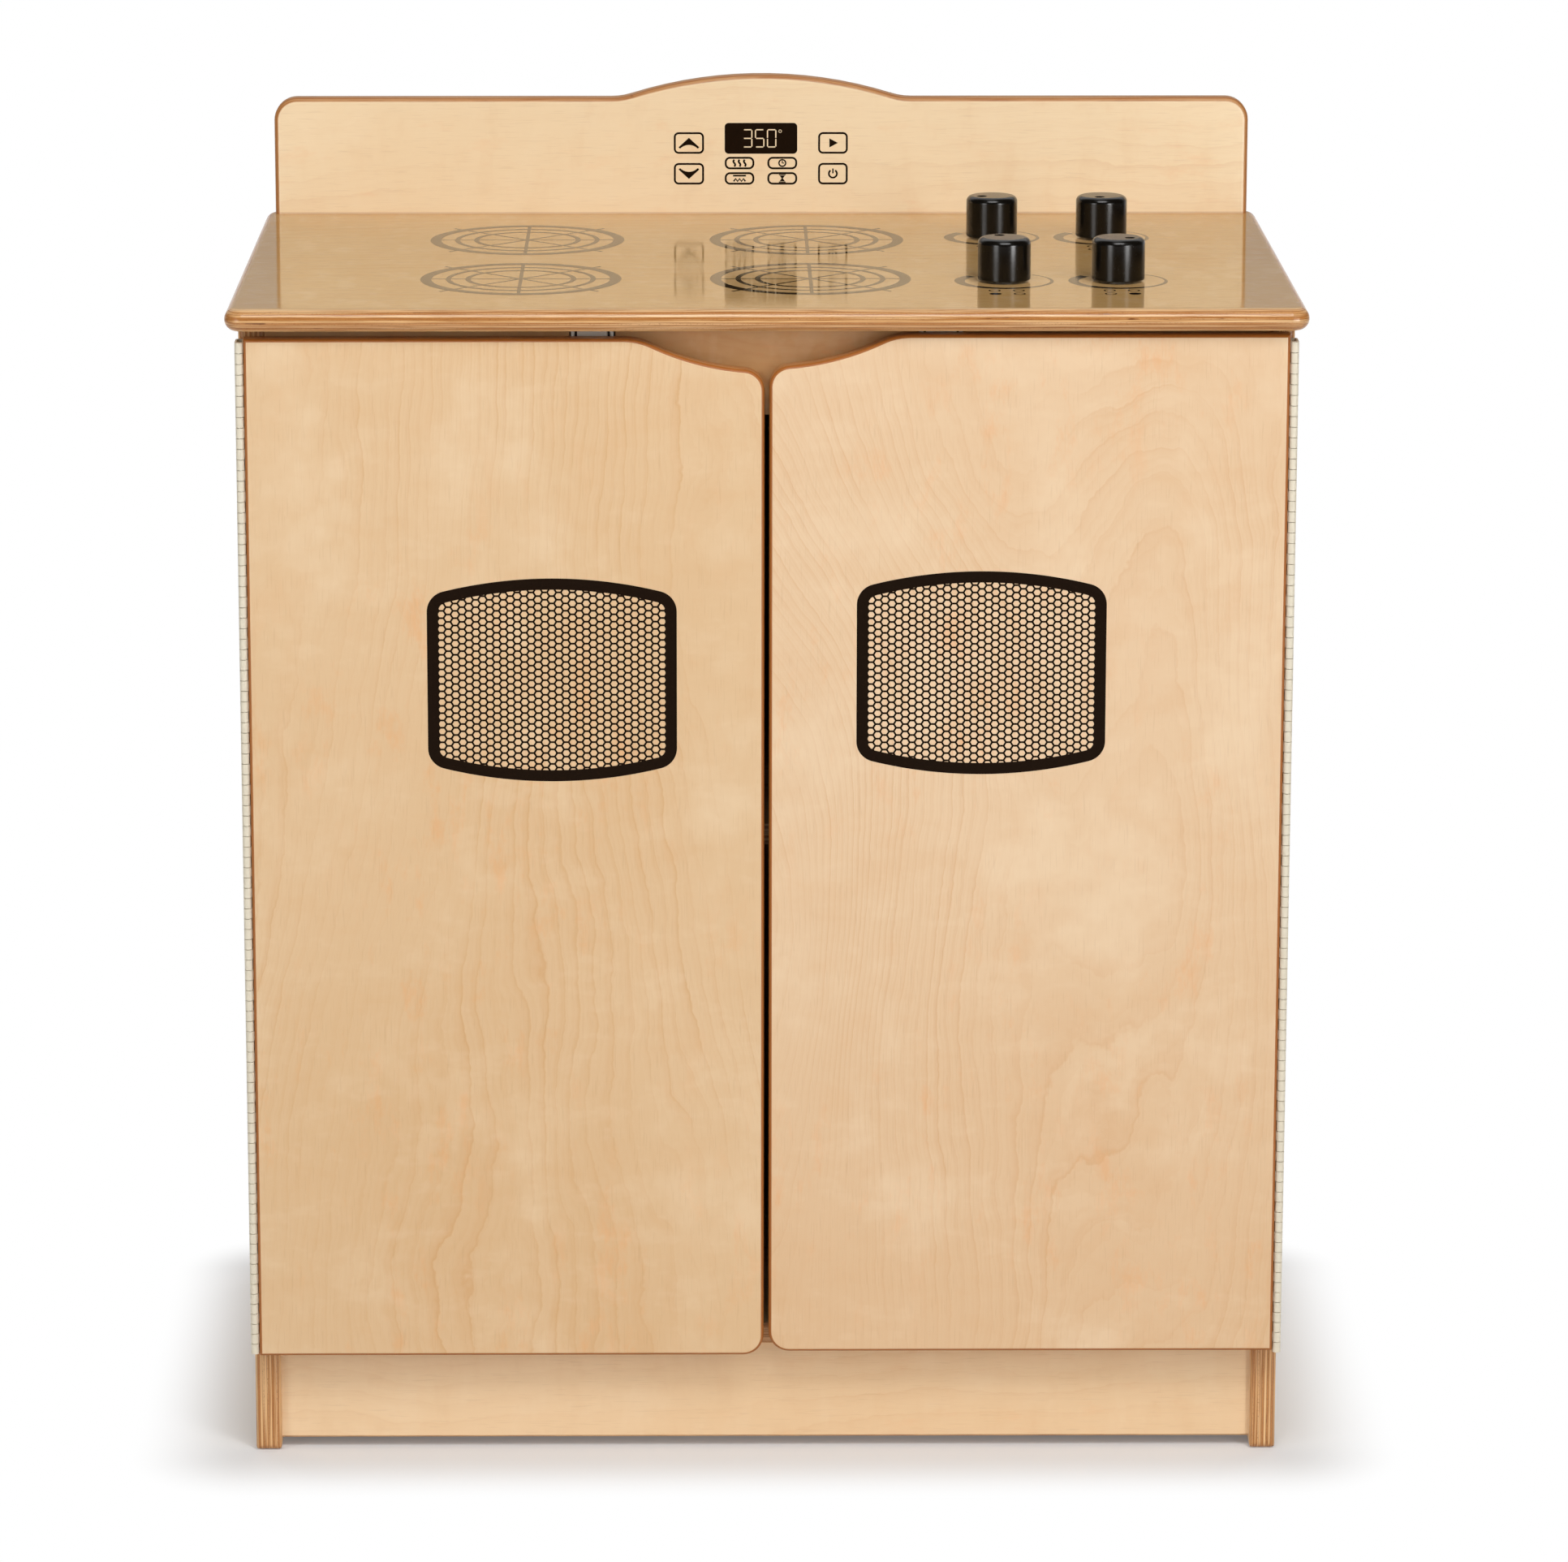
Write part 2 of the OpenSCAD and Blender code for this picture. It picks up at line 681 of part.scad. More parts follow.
module toe_kick() {
    h = bottom_shelf_z - toe_kick_z;
    color(birch) difference() {
        translate([-inner_x, toe_kick_y, toe_kick_z]) rotate([90, 0, 90])
            linear_extrude(height = 2 * inner_x) round_foot_rect(board_t, h, board_ease);
        both_dowel_holes();
    }
}

module cleat() {
    color(birch) difference() {
        translate([cleat_x, cleat_y, worktop_z - cleat_size]) cube([cleat_size, cleat_l, cleat_size]);
        at_cleat_top_screws() assembly_screw_hole(cleat_size + screw_bite);
        at_cleat_side_screws() assembly_screw_hole(cleat_size + screw_bite);
    }
}

module left_cleat() {
    mirror([1, 0, 0]) cleat();
}

module right_cleat() {
    cleat();
}

// Fasteners of the cabinet

module dowels() {
    color(birch) for (side = ["left", "right"]) left_too(side) at_dowels()
        translate([0, 0, dowel_bite - dowel_l]) cylinder(h = dowel_l, r = dowel_d / 2);
}

module cleat_screws() {
    color(zinc) for (side = ["left", "right"]) left_too(side) {
        at_cleat_top_screws() assembly_screw(cleat_size + screw_bite);
        at_cleat_side_screws() assembly_screw(cleat_size + screw_bite);
    }
}

module backsplash_screws() {
    color(zinc) at_backsplash_screws() assembly_screw(worktop_t + backsplash_bite);
}

module back_panel_screws() {
    color(zinc) at_back_panel_screws() small_screw(back_screw_l);
}

// Doors

// Points along an arc of the door's outline, each with its direction into the wood
function arc_points(x, y, r, a, b, steps, hollow = false) = [
    for (i = [0 : steps]) let (t = a + (b - a) * i / steps, u = [cos(t), sin(t)])
        [[x + r * u[0], y + r * u[1]], hollow ? u : -u]
];

// The router bit's section on both faces, as steps into the wood and heights over the rear face
function ease_steps(t, r, steps) = [
    for (i = [0 : steps]) let (a = 90 * i / steps) [r * (1 - sin(a)), r * (1 - cos(a))],
    for (i = [steps : -1 : 0]) let (a = 90 * i / steps) [r * (1 - sin(a)), t - r * (1 - cos(a))]
];

// The right door's outline in the front view, counter-clockwise from its lower outer corner
function door_path() = let (step = (corner_turn - shoulder_turn) / 16) concat(
    [[[door_outer_x, 0], [-1, 1]], [[door_outer_x, door_h], [-1, -1]]],
    arc_points(shoulder_x, shoulder_y, hold_shoulder_r, 90, shoulder_turn, 8),
    arc_points(0, hold_y, hold_r, shoulder_turn - 180 + step, corner_turn - 180 - step, 14, true),
    arc_points(corner_x, corner_y, door_corner_r, corner_turn, 180, 9),
    arc_points(corner_x, door_corner_r, door_corner_r, 180, 270, 9)
);

// Board of thickness t over a path, its edges rounded by r on both faces
module eased_board(path, t, r) {
    rings = ease_steps(t, r, 5);
    n = len(path);
    last = len(rings) - 1;
    polyhedron(
        points = [for (ring = rings, p = path) concat(p[0] + ring[0] * p[1], ring[1])],
        faces = concat(
            [[for (i = [0 : n - 1]) i], [for (i = [n - 1 : -1 : 0]) last * n + i]],
            [for (k = [0 : last - 1], i = [0 : n - 1]) let (a = k * n, b = a + n, j = (i + 1) % n)
                each [[a + i, b + i, b + j], [a + i, b + j, a + j]]]
        ));
}

module door(side) {
    color(birch) left_too(side) difference() {
        translate([0, 0, door_z - door_drop(side)]) facing_front(door_back_y)
            eased_board(door_path(), door_t, door_ease);
        at_door_leaf_screws() small_screw_hole(hinge_screw_l);
        at_strike(side) translate([0, 0, strike_t]) small_screw_hole(catch_screw_l);
    }
}

// Piano hinges, drawn round the right hinge's axis

module ring(outer_r, inner_r) {
    difference() {
        circle(r = outer_r);
        circle(r = inner_r);
    }
}

// Gaps that leave every second knuckle of a leaf standing, starting with the given one
module knuckle_gaps(first) {
    for (i = [first : 2 : knuckle_count - 1]) {
        low = i == 0 ? -cut : i * knuckle_l - knuckle_gap / 2;
        high = i == knuckle_count - 1 ? hinge_l + cut : (i + 1) * knuckle_l + knuckle_gap / 2;
        translate([-relief_r - cut, -relief_r, low])
            cube([2 * (relief_r + cut), 2 * relief_r, high - low]);
    }
}

module frame_leaf_outline() {
    bend_x = knuckle_r - leaf_bend_r;
    bend_y = leaf_run - leaf_bend_r;
    union() {
        ring(knuckle_r, hinge_pin_d / 2 + hinge_pin_play);
        difference() {
            translate([knuckle_r - leaf_t, 0]) square([leaf_t, bend_y]);
            circle(r = hinge_pin_d / 2 + hinge_pin_play);
        }
        intersection() {
            translate([bend_x, bend_y]) ring(leaf_bend_r, leaf_bend_r - leaf_t);
            translate([bend_x, bend_y]) square(leaf_bend_r);
        }
        translate([knuckle_r - flange_w, leaf_run - leaf_t])
            square([flange_w - leaf_bend_r, leaf_t]);
    }
}

module door_leaf_outline() {
    union() {
        ring(knuckle_r, hinge_pin_d / 2 + hinge_pin_play);
        difference() {
            translate([door_outer_x - hinge_x, 0]) square([leaf_t, door_leaf_w]);
            circle(r = hinge_pin_d / 2 + hinge_pin_play);
        }
    }
}

module at_hinge() {
    translate([hinge_x, hinge_y, hinge_z]) children();
}

module frame_leaf(side) {
    color(cream) left_too(side) difference() {
        at_hinge() difference() {
            linear_extrude(height = hinge_l) frame_leaf_outline();
            knuckle_gaps(1);
        }
        at_frame_leaf_screws() small_screw_hole(hinge_screw_l);
    }
}

module door_leaf(side) {
    color(cream) left_too(side) difference() {
        at_hinge() difference() {
            linear_extrude(height = hinge_l) door_leaf_outline();
            knuckle_gaps(0);
        }
        at_door_leaf_screws() small_screw_hole(hinge_screw_l);
    }
}

module hinge_pin(side) {
    color(zinc) left_too(side) at_hinge() cylinder(h = hinge_l, r = hinge_pin_d / 2);
}

module frame_leaf_screws(side) {
    color(cream) left_too(side) at_frame_leaf_screws() small_screw(hinge_screw_l);
}

module door_leaf_screws(side) {
    color(cream) left_too(side) at_door_leaf_screws() small_screw(hinge_screw_l);
}

// Magnetic catches

module catch_housing(side) {
    inside_w = catch_w - 2 * catch_wall;
    color(zinc) left_too(side) difference() {
        at_catch() union() {
            translate([-catch_w / 2, 0, -catch_h]) cube([catch_w, catch_d, catch_h]);
            translate([-catch_w / 2, 0, -catch_tab_t]) cube([catch_w, catch_d + catch_tab, catch_tab_t]);
        }
        at_catch() translate([-inside_w / 2, -cut, catch_wall - catch_h])
            cube([inside_w, catch_d - catch_wall + cut, magnet_h]);
        at_catch_screws() small_screw_hole(catch_screw_l);
    }
}

// Block in the housing, inset from the right by inset and standing proud of the front by proud
module catch_block(w, proud) {
    translate([-w / 2, -proud, catch_wall - catch_h + magnet_play])
        cube([w, magnet_d + proud, magnet_h - 2 * magnet_play]);
}

module catch_magnet(side) {
    color([0.62, 0.60, 0.57]) left_too(side) at_catch()
        catch_block(2 * (pole_x - pole_t - magnet_play), -magnet_play);
}

module catch_poles(side) {
    color([0.20, 0.20, 0.20]) left_too(side) at_catch() for (s = [-1, 1])
        translate([s * (pole_x - pole_t / 2), 0, 0]) catch_block(pole_t, pole_proud);
}

module catch_screws() {
    color(zinc) at_catch_screws() small_screw(catch_screw_l);
}

module strike_plate(side) {
    corner = strike_t;
    color(zinc) left_too(side) difference() {
        at_strike(side) translate([-catch_w / 2, -strike_h / 2, 0]) linear_extrude(height = strike_t)
            round_rect(catch_w, strike_h, corner);
        at_strike(side) translate([0, 0, strike_t]) small_screw_hole(catch_screw_l);
    }
}

module strike_screw(side) {
    color(zinc) left_too(side) at_strike(side) translate([0, 0, strike_t])
        small_screw(catch_screw_l);
}

// Knobs

module knob_profile() {
    r = knob_d / 2;
    union() {
        square([r - knob_ease, knob_h]);
        square([r - knob_foot_ease, knob_h - knob_ease]);
        translate([0, knob_foot_ease]) square([r, knob_h - knob_ease - knob_foot_ease]);
        intersection() {
            translate([r - knob_ease, knob_h - knob_ease]) circle(r = knob_ease);
            square([r, knob_h]);
        }
        translate([r - knob_foot_ease, knob_foot_ease]) circle(r = knob_foot_ease);
    }
}

module knob(i, marker) {
    color([0.07, 0.07, 0.08]) translate([knob_places[i][0], knob_places[i][1], knob_z])
        difference() {
            rotate_extrude() knob_profile();
            translate([0, 0, -cut])
                cylinder(h = insert_h + fastener_play + cut, r = sleeve_d / 2 + fastener_play);
            rotate([0, 0, marker]) translate([marker_r, 0, knob_h - marker_depth])
                cylinder(h = marker_depth + cut, r = marker_d / 2);
        }
}

module insert(i) {
    color([0.80, 0.65, 0.30]) translate([knob_places[i][0], knob_places[i][1], knob_z])
        difference() {
            cylinder(h = insert_h, r = sleeve_d / 2);
            translate([0, 0, -cut]) cylinder(h = insert_h + 2 * cut, r = bolt_d / 2 + bolt_play);
        }
}

module bolt(i) {
    color(zinc) translate([knob_places[i][0], knob_places[i][1], bolt_z]) difference() {
        union() {
            translate([0, 0, -bolt_head_h]) cylinder(h = bolt_head_h, r = bolt_head_d / 2);
            cylinder(h = knob_z - bolt_z + insert_h, r = bolt_d / 2);
        }
        translate([0, 0, -bolt_head_h - cut])
            cylinder(h = bolt_head_h * 0.6 + cut, r = bolt_key / sqrt(3), $fn = 6);
    }
}

module knob_bushings() {
    color([0.90, 0.90, 0.88]) at_knobs() translate([0, 0, worktop_z]) difference() {
        union() {
            cylinder(h = worktop_t, r = sleeve_d / 2);
            translate([0, 0, worktop_t]) cylinder(h = bushing_flange_t, r = bushing_flange_d / 2);
        }
        translate([0, 0, -cut])
            cylinder(h = worktop_t + bushing_flange_t + 2 * cut, r = bolt_d / 2 + bolt_play);
    }
}

module knob_washers() {
    color(zinc) at_knobs() translate([0, 0, worktop_z - washer_t]) difference() {
        cylinder(h = washer_t, r = washer_d / 2);
        translate([0, 0, -cut]) cylinder(h = washer_t + 2 * cut, r = bolt_d / 2 + knob_gap);
    }
}

worktop();
backsplash();
left_side();
right_side();
back_panel();
bottom_shelf();
middle_shelf();
front_rail();
rear_rail();
toe_kick();
left_cleat();
right_cleat();
dowels();
cleat_screws();
backsplash_screws();
back_panel_screws();
frame_leaf("left");  // left_frame_leaf
frame_leaf("right");  // right_frame_leaf
hinge_pin("left");  // left_hinge_pin
hinge_pin("right");  // right_hinge_pin
frame_leaf_screws("left");  // left_frame_leaf_screws
frame_leaf_screws("right");  // right_frame_leaf_screws
catch_housing("left");  // left_catch_housing
catch_housing("right");  // right_catch_housing
catch_magnet("left");  // left_catch_magnet
catch_magnet("right");  // right_catch_magnet
catch_poles("left");  // left_catch_poles
catch_poles("right");  // right_catch_poles
catch_screws();
door("left");  // left_door
door("right");  // right_door
door_leaf("left");  // left_door_leaf
door_leaf("right");  // right_door_leaf
door_leaf_screws("left");  // left_door_leaf_screws
door_leaf_screws("right");  // right_door_leaf_screws
strike_plate("left");  // left_strike_plate
strike_plate("right");  // right_strike_plate
strike_screw("left");  // left_strike_screw
strike_screw("right");  // right_strike_screw
knob_bushings();
knob_washers();
knob(0, front_left_marker);  // front_left_knob
knob(1, front_right_marker);  // front_right_knob
knob(2, back_left_marker);  // back_left_knob
knob(3, back_right_marker);  // back_right_knob
insert(0);  // front_left_insert
insert(1);  // front_right_insert
insert(2);  // back_left_insert
insert(3);  // back_right_insert
bolt(0);  // front_left_bolt
bolt(1);  // front_right_bolt
bolt(2);  // back_left_bolt
bolt(3);  // back_right_bolt
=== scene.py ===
import math
from collections import namedtuple

import bmesh
import bpy
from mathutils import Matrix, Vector


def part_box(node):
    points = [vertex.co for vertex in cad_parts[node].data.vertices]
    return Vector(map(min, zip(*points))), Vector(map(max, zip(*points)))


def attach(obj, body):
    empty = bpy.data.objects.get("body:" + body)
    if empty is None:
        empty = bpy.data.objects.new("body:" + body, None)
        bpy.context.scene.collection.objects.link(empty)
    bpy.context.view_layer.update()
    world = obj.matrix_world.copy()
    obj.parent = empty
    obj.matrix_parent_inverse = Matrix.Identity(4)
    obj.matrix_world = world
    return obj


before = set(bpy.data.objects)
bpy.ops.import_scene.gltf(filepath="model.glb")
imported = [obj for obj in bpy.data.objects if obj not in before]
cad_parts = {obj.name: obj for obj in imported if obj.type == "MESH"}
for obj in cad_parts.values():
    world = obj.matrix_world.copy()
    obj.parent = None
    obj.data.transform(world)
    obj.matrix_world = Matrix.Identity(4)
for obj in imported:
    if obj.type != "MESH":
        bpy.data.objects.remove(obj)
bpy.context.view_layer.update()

# Everything is in metres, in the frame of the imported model: +X is the viewer's right, -Y the front.
MM = 0.001

KNOBS = ("front_left", "front_right", "back_left", "back_right")

# Camera, fitted to the photograph, with the shift that its framing needs.
CAMERA_PLACE = (-0.0368, -3.7918, 1.2748)
CAMERA_PITCH = 12.416
CAMERA_TURN = 0.321
CAMERA_LENS = 149.39
CAMERA_SENSOR = 36.0
CAMERA_SHIFT = (0.0296, -0.08)

# Room light on the object, as a share of the white that the background shows
ROOM_LEVEL = 0.22

# Soft boxes: name, place, width and height, watts, and whether glossy surfaces show them
SOFT_BOX_AIM = (0, 0, 0.5)
SOFT_BOXES = (
    ("right_soft_box", (1.95, -3.0, 1.85), (0.95, 3.5), 51, False),
    ("left_soft_box", (-2.6, -2.4, 1.85), (1.05, 3.5), 29, False),
    ("top_soft_box", (0.2, -1.8, 2.7), (1.6, 1.0), 34, True),
)
BACK_BOX_AIM = (0, 0, 0.45)
BACK_BOX_SIZE = (1.2, 1.6)
BACK_BOX_PLACE = (2.2, 3.0, 1.0)
BACK_BOX_POWER = 30

# Floor: how pale it is, how far it fades to white beside the cabinet, and how white it starts there
FLOOR_SIZE = 60.0
FLOOR_COLOUR = 0.82
FLOOR_DROP = 0.05 * MM
FLOOR_FADE = (0.0, 0.075)
FLOOR_NEAR_LIFT = 0.12

# Dark dome in front, for gloss alone: radius, degrees round and up, and where it fades to white
CURTAIN_R = 3.6
CURTAIN_TURN = 290
CURTAIN_FADE = (112, 145)
CURTAIN_RISE = 80
CURTAIN_STEPS = 24
CURTAIN_ROWS = 8

# Grey card behind, for gloss alone: middle, and width and height
GREY_CARD_PLACE = (0, 2.0, 1.28)
GREY_CARD_SIZE = (5.0, 1.1)

# Upright bright strips, for gloss alone, round a point between the knobs
STRIP_MID = (0.15, -0.02)
STRIP_AWAY = 3.3
STRIP_HEIGHT = 1.3
# Name, degrees to the right of the front, width and strength
STRIPS = (("left_strip", -38, 1.0, 4.6), ("right_strip", 36, 0.9, 11.0))

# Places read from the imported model
WORKTOP_LOW, WORKTOP_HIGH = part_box("worktop")
WORKTOP_TOP = WORKTOP_HIGH.z
FRONT_LINE = WORKTOP_LOW.y
BACKSPLASH_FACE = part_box("backsplash")[0].y
DOOR_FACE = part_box("left_door")[0].y

# Ripple of the lacquer over the fibres: the worktop's gloss, and the satin of the other boards
GLOSS_RIPPLE = 0.02 * MM
LACQUER_RIPPLE = 0.02 * MM
# Scratches in metal and plating
SCRATCH_DEPTH = 0.006 * MM

# Brown line along the foot of the backsplash, at its seam with the worktop: the heights it fades over,
# and its strength
SEAM_FADE = (0.5 * MM, 1.6 * MM)
SEAM_DEPTH = 0.35

# Printing: how deep its solids are sunk, and how far each layer stands out
INK_SINK = 0.03 * MM
INK_LIFT = 0.03 * MM
INK_OVER = 0.05 * MM

# Burner rings: outer and inner radius of each ring, and the spokes
BURNER_X = (-141 * MM, 26 * MM)
BURNER_BEHIND = (111 * MM, 258 * MM)
BURNER_RINGS = ((58.0 * MM, 51.6 * MM), (43.3 * MM, 40.3 * MM), (32.0 * MM, 29.0 * MM))
SPOKE_W = 2.1 * MM
SPOKE_R = 57.5 * MM
LONG_SPOKE_R = 64.0 * MM

# Dials: a crescent round each knob, and the burner sign in front of it
DIAL_R = 28.6 * MM
DIAL_START = 136
DIAL_END = 412
DIAL_WIDE = 6.9 * MM
DIAL_NARROW = 0.8 * MM
SIGN_FRONT = 40.3 * MM
SIGN_SPACING = (13.8 * MM, 11.6 * MM)
SIGN_R = 3.5 * MM
SIGN_LINE = 0.9 * MM

# Oven windows: the outer outline, its frame and its wire mesh
WINDOW_X = 122 * MM
WINDOW_MID = {"left": 465.7 * MM, "right": 469.6 * MM}
WINDOW_W = 141.8 * MM
WINDOW_H = 118.1 * MM
WINDOW_BOW_R = 256 * MM
WINDOW_CORNER_R = 12 * MM
WINDOW_FRAME = 6.5 * MM
MESH_TUCK = 3.2 * MM
MESH_COLUMN = 3.92 * MM
MESH_ROW = 4.25 * MM
MESH_WIRE = 1.07 * MM

# Control panel on the backsplash; heights are above the worktop
PANEL_LINE = 1.2 * MM
DISPLAY = (-22.5 * MM, 22.0 * MM, 37.1 * MM, 56.1 * MM)
DISPLAY_R = 2.4 * MM
DIGIT_W = 5.1 * MM
DIGIT_H = 10.6 * MM
DIGIT_PITCH = 7.35 * MM
DIGIT_LINE = 0.72 * MM
DIGIT_FIRST = -8.4 * MM
DIGIT_SEGMENTS = {"3": "abcdg", "5": "acdfg", "0": "abcdef"}
BUTTON_R = 3.0 * MM
PILL_R = 3.3 * MM
ARROW_BUTTON_X = (-53.7 * MM, -35.2 * MM)
SIGN_BUTTON_X = (34.8 * MM, 53.0 * MM)
BUTTON_ROWS = ((37.1 * MM, 50.4 * MM), (18.1 * MM, 31.4 * MM))
PILL_X = ((-22.5 * MM, -4.3 * MM), (3.7 * MM, 22.0 * MM))
PILL_ROWS = ((27.5 * MM, 35.2 * MM), (18.0 * MM, 25.7 * MM))


def srgb(red, green, blue):
    """A colour written as 0 to 255 in sRGB, as the linear colour that a shader takes."""
    return tuple(
        c / 12.92 if c <= 0.04045 else ((c + 0.055) / 1.055) ** 2.4
        for c in (red / 255, green / 255, blue / 255)
    )


# Node helpers


class Wires:
    """Adds nodes to one tree and wires them, so that a material reads as a formula."""

    def __init__(self, tree):
        self.tree = tree

    def feed(self, socket, value):
        if isinstance(value, bpy.types.NodeSocket):
            self.tree.links.new(value, socket)
        elif socket.type == "RGBA" and len(value) == 3:
            socket.default_value = (*value, 1.0)
        else:
            socket.default_value = value

    def node(self, kind, inputs=None, **settings):
        made = self.tree.nodes.new(kind)
        for name, value in settings.items():
            setattr(made, name, value)
        for name, value in (inputs or {}).items():
            self.feed(made.inputs[name], value)
        return made

    def calc(self, operation, *values, clamp=False):
        made = self.node("ShaderNodeMath", operation=operation, use_clamp=clamp)
        for socket, value in zip(made.inputs, values):
            self.feed(socket, value)
        return made.outputs[0]

    def steer(self, operation, *values):
        made = self.node("ShaderNodeVectorMath", operation=operation)
        for socket, value in zip(made.inputs, values):
            self.feed(socket, value)
        return made.outputs[0]

    def split(self, vector):
        return self.node("ShaderNodeSeparateXYZ", {"Vector": vector}).outputs

    def join(self, x, y, z):
        return self.node("ShaderNodeCombineXYZ", {"X": x, "Y": y, "Z": z}).outputs[0]

    def mix(self, share, first, second):
        made = self.node("ShaderNodeMix", data_type="RGBA")
        for place, value in ((0, share), (6, first), (7, second)):
            self.feed(made.inputs[place], value)
        return made.outputs[2]

    def ease(self, value, low, high, start=0.0, end=1.0):
        inputs = {"Value": value, "From Min": low, "From Max": high, "To Min": start, "To Max": end}
        return self.node("ShaderNodeMapRange", inputs, interpolation_type="SMOOTHSTEP").outputs[0]

    def noise(self, vector, stretch, detail=2.0, roughness=0.5):
        inputs = {"Vector": self.steer("MULTIPLY", vector, stretch), "Scale": 1.0}
        inputs.update({"Detail": detail, "Roughness": roughness})
        return self.node("ShaderNodeTexNoise", inputs).outputs[0]

    def chance(self, value):
        inputs = {"W": value}
        made = self.node("ShaderNodeTexWhiteNoise", inputs, noise_dimensions="1D")
        return made.outputs["Value"]

    def effect(self, tree, inputs):
        return self.node("ShaderNodeGroup", inputs, node_tree=tree).outputs

    def bump(self, height, distance, strength=1.0):
        inputs = {"Height": height, "Distance": distance, "Strength": strength}
        return self.node("ShaderNodeBump", inputs).outputs[0]

    def rest_place(self):
        return self.node("ShaderNodeTexCoord").outputs["Object"]

    def rest_normal(self):
        return self.node("ShaderNodeTexCoord").outputs["Normal"]


def new_effect(name, inputs, outputs):
    """An empty node group with these named sockets, its wires, its inputs and its outputs."""
    tree = bpy.data.node_groups.new(name, "ShaderNodeTree")
    for way, sockets in (("INPUT", inputs), ("OUTPUT", outputs)):
        for label, kind in sockets.items():
            tree.interface.new_socket(name=label, in_out=way, socket_type="NodeSocket" + kind)
    w = Wires(tree)
    return w, w.node("NodeGroupInput").outputs, w.node("NodeGroupOutput").inputs


def new_material(name):
    material = bpy.data.materials.new(name)
    material.use_nodes = True
    material.node_tree.nodes.clear()
    return material, Wires(material.node_tree)


def surface(w, inputs):
    """Ends a material with one Principled surface, whose constants sit on its own sockets."""
    shader = w.node("ShaderNodeBsdfPrincipled", inputs)
    w.node("ShaderNodeOutputMaterial", {"Surface": shader.outputs[0]})


# Effects that more than one finish uses


def growth_lines(w, given, place):
    """Late-wood lines, soft on one side and sharp on the other, that bend with the shape of the log."""
    drift = w.calc("MULTIPLY", w.noise(place, (4.4, 1.6, 2.0), 1.0, 0.4), given["Swirl"])
    sway = w.calc("MULTIPLY", w.noise(place, (15, 7.5, 12), 2.0, 0.5), 0.034)
    jag = w.calc("MULTIPLY", w.noise(place, (62, 44, 40), 3.0, 0.6), 0.0085)
    across = w.split(given["Vector"])[0]
    rings = w.calc("ADD", w.calc("ADD", across, drift), w.calc("ADD", sway, jag))
    rings = w.calc("DIVIDE", rings, given["Line spacing"])
    ring = w.calc("FRACT", rings)
    each = w.chance(w.calc("FLOOR", rings))
    end = w.ease(ring, 0.93, 1.0, 1.0, 0.0)
    soft = w.calc("MULTIPLY", w.calc("POWER", w.ease(ring, 0.10, 0.95), 2.2), 0.62)
    hairline = w.calc("MULTIPLY", w.ease(ring, 0.84, 0.94), 0.38)
    line = w.calc("MULTIPLY", w.calc("ADD", soft, hairline), end)
    line = w.calc("MULTIPLY", line, w.calc("MULTIPLY_ADD", each, 0.75, 0.25))
    faint = w.calc("FRACT", w.calc("MULTIPLY", rings, 2.7))
    line = w.calc("ADD", line, w.calc("MULTIPLY", w.ease(faint, 0.3, 0.97), 0.16))
    patch = w.ease(w.noise(place, (9, 4.5, 7), 3.0, 0.6), 0.34, 0.66, 0.22, 1.2)
    return w.calc("MULTIPLY", line, patch)


def pith_flecks(w, place):
    """Short brown flecks along the grain, in one of six cells."""
    cell = w.node(
        "ShaderNodeTexVoronoi",
        {"Vector": w.steer("MULTIPLY", place, (24, 5.5, 24)), "Scale": 1.0},
    ).outputs
    marked = w.calc("GREATER_THAN", w.split(cell["Color"])[0], 0.84)
    return w.calc("MULTIPLY", w.ease(cell["Distance"], 0.012, 0.032, 1.0, 0.0), marked)


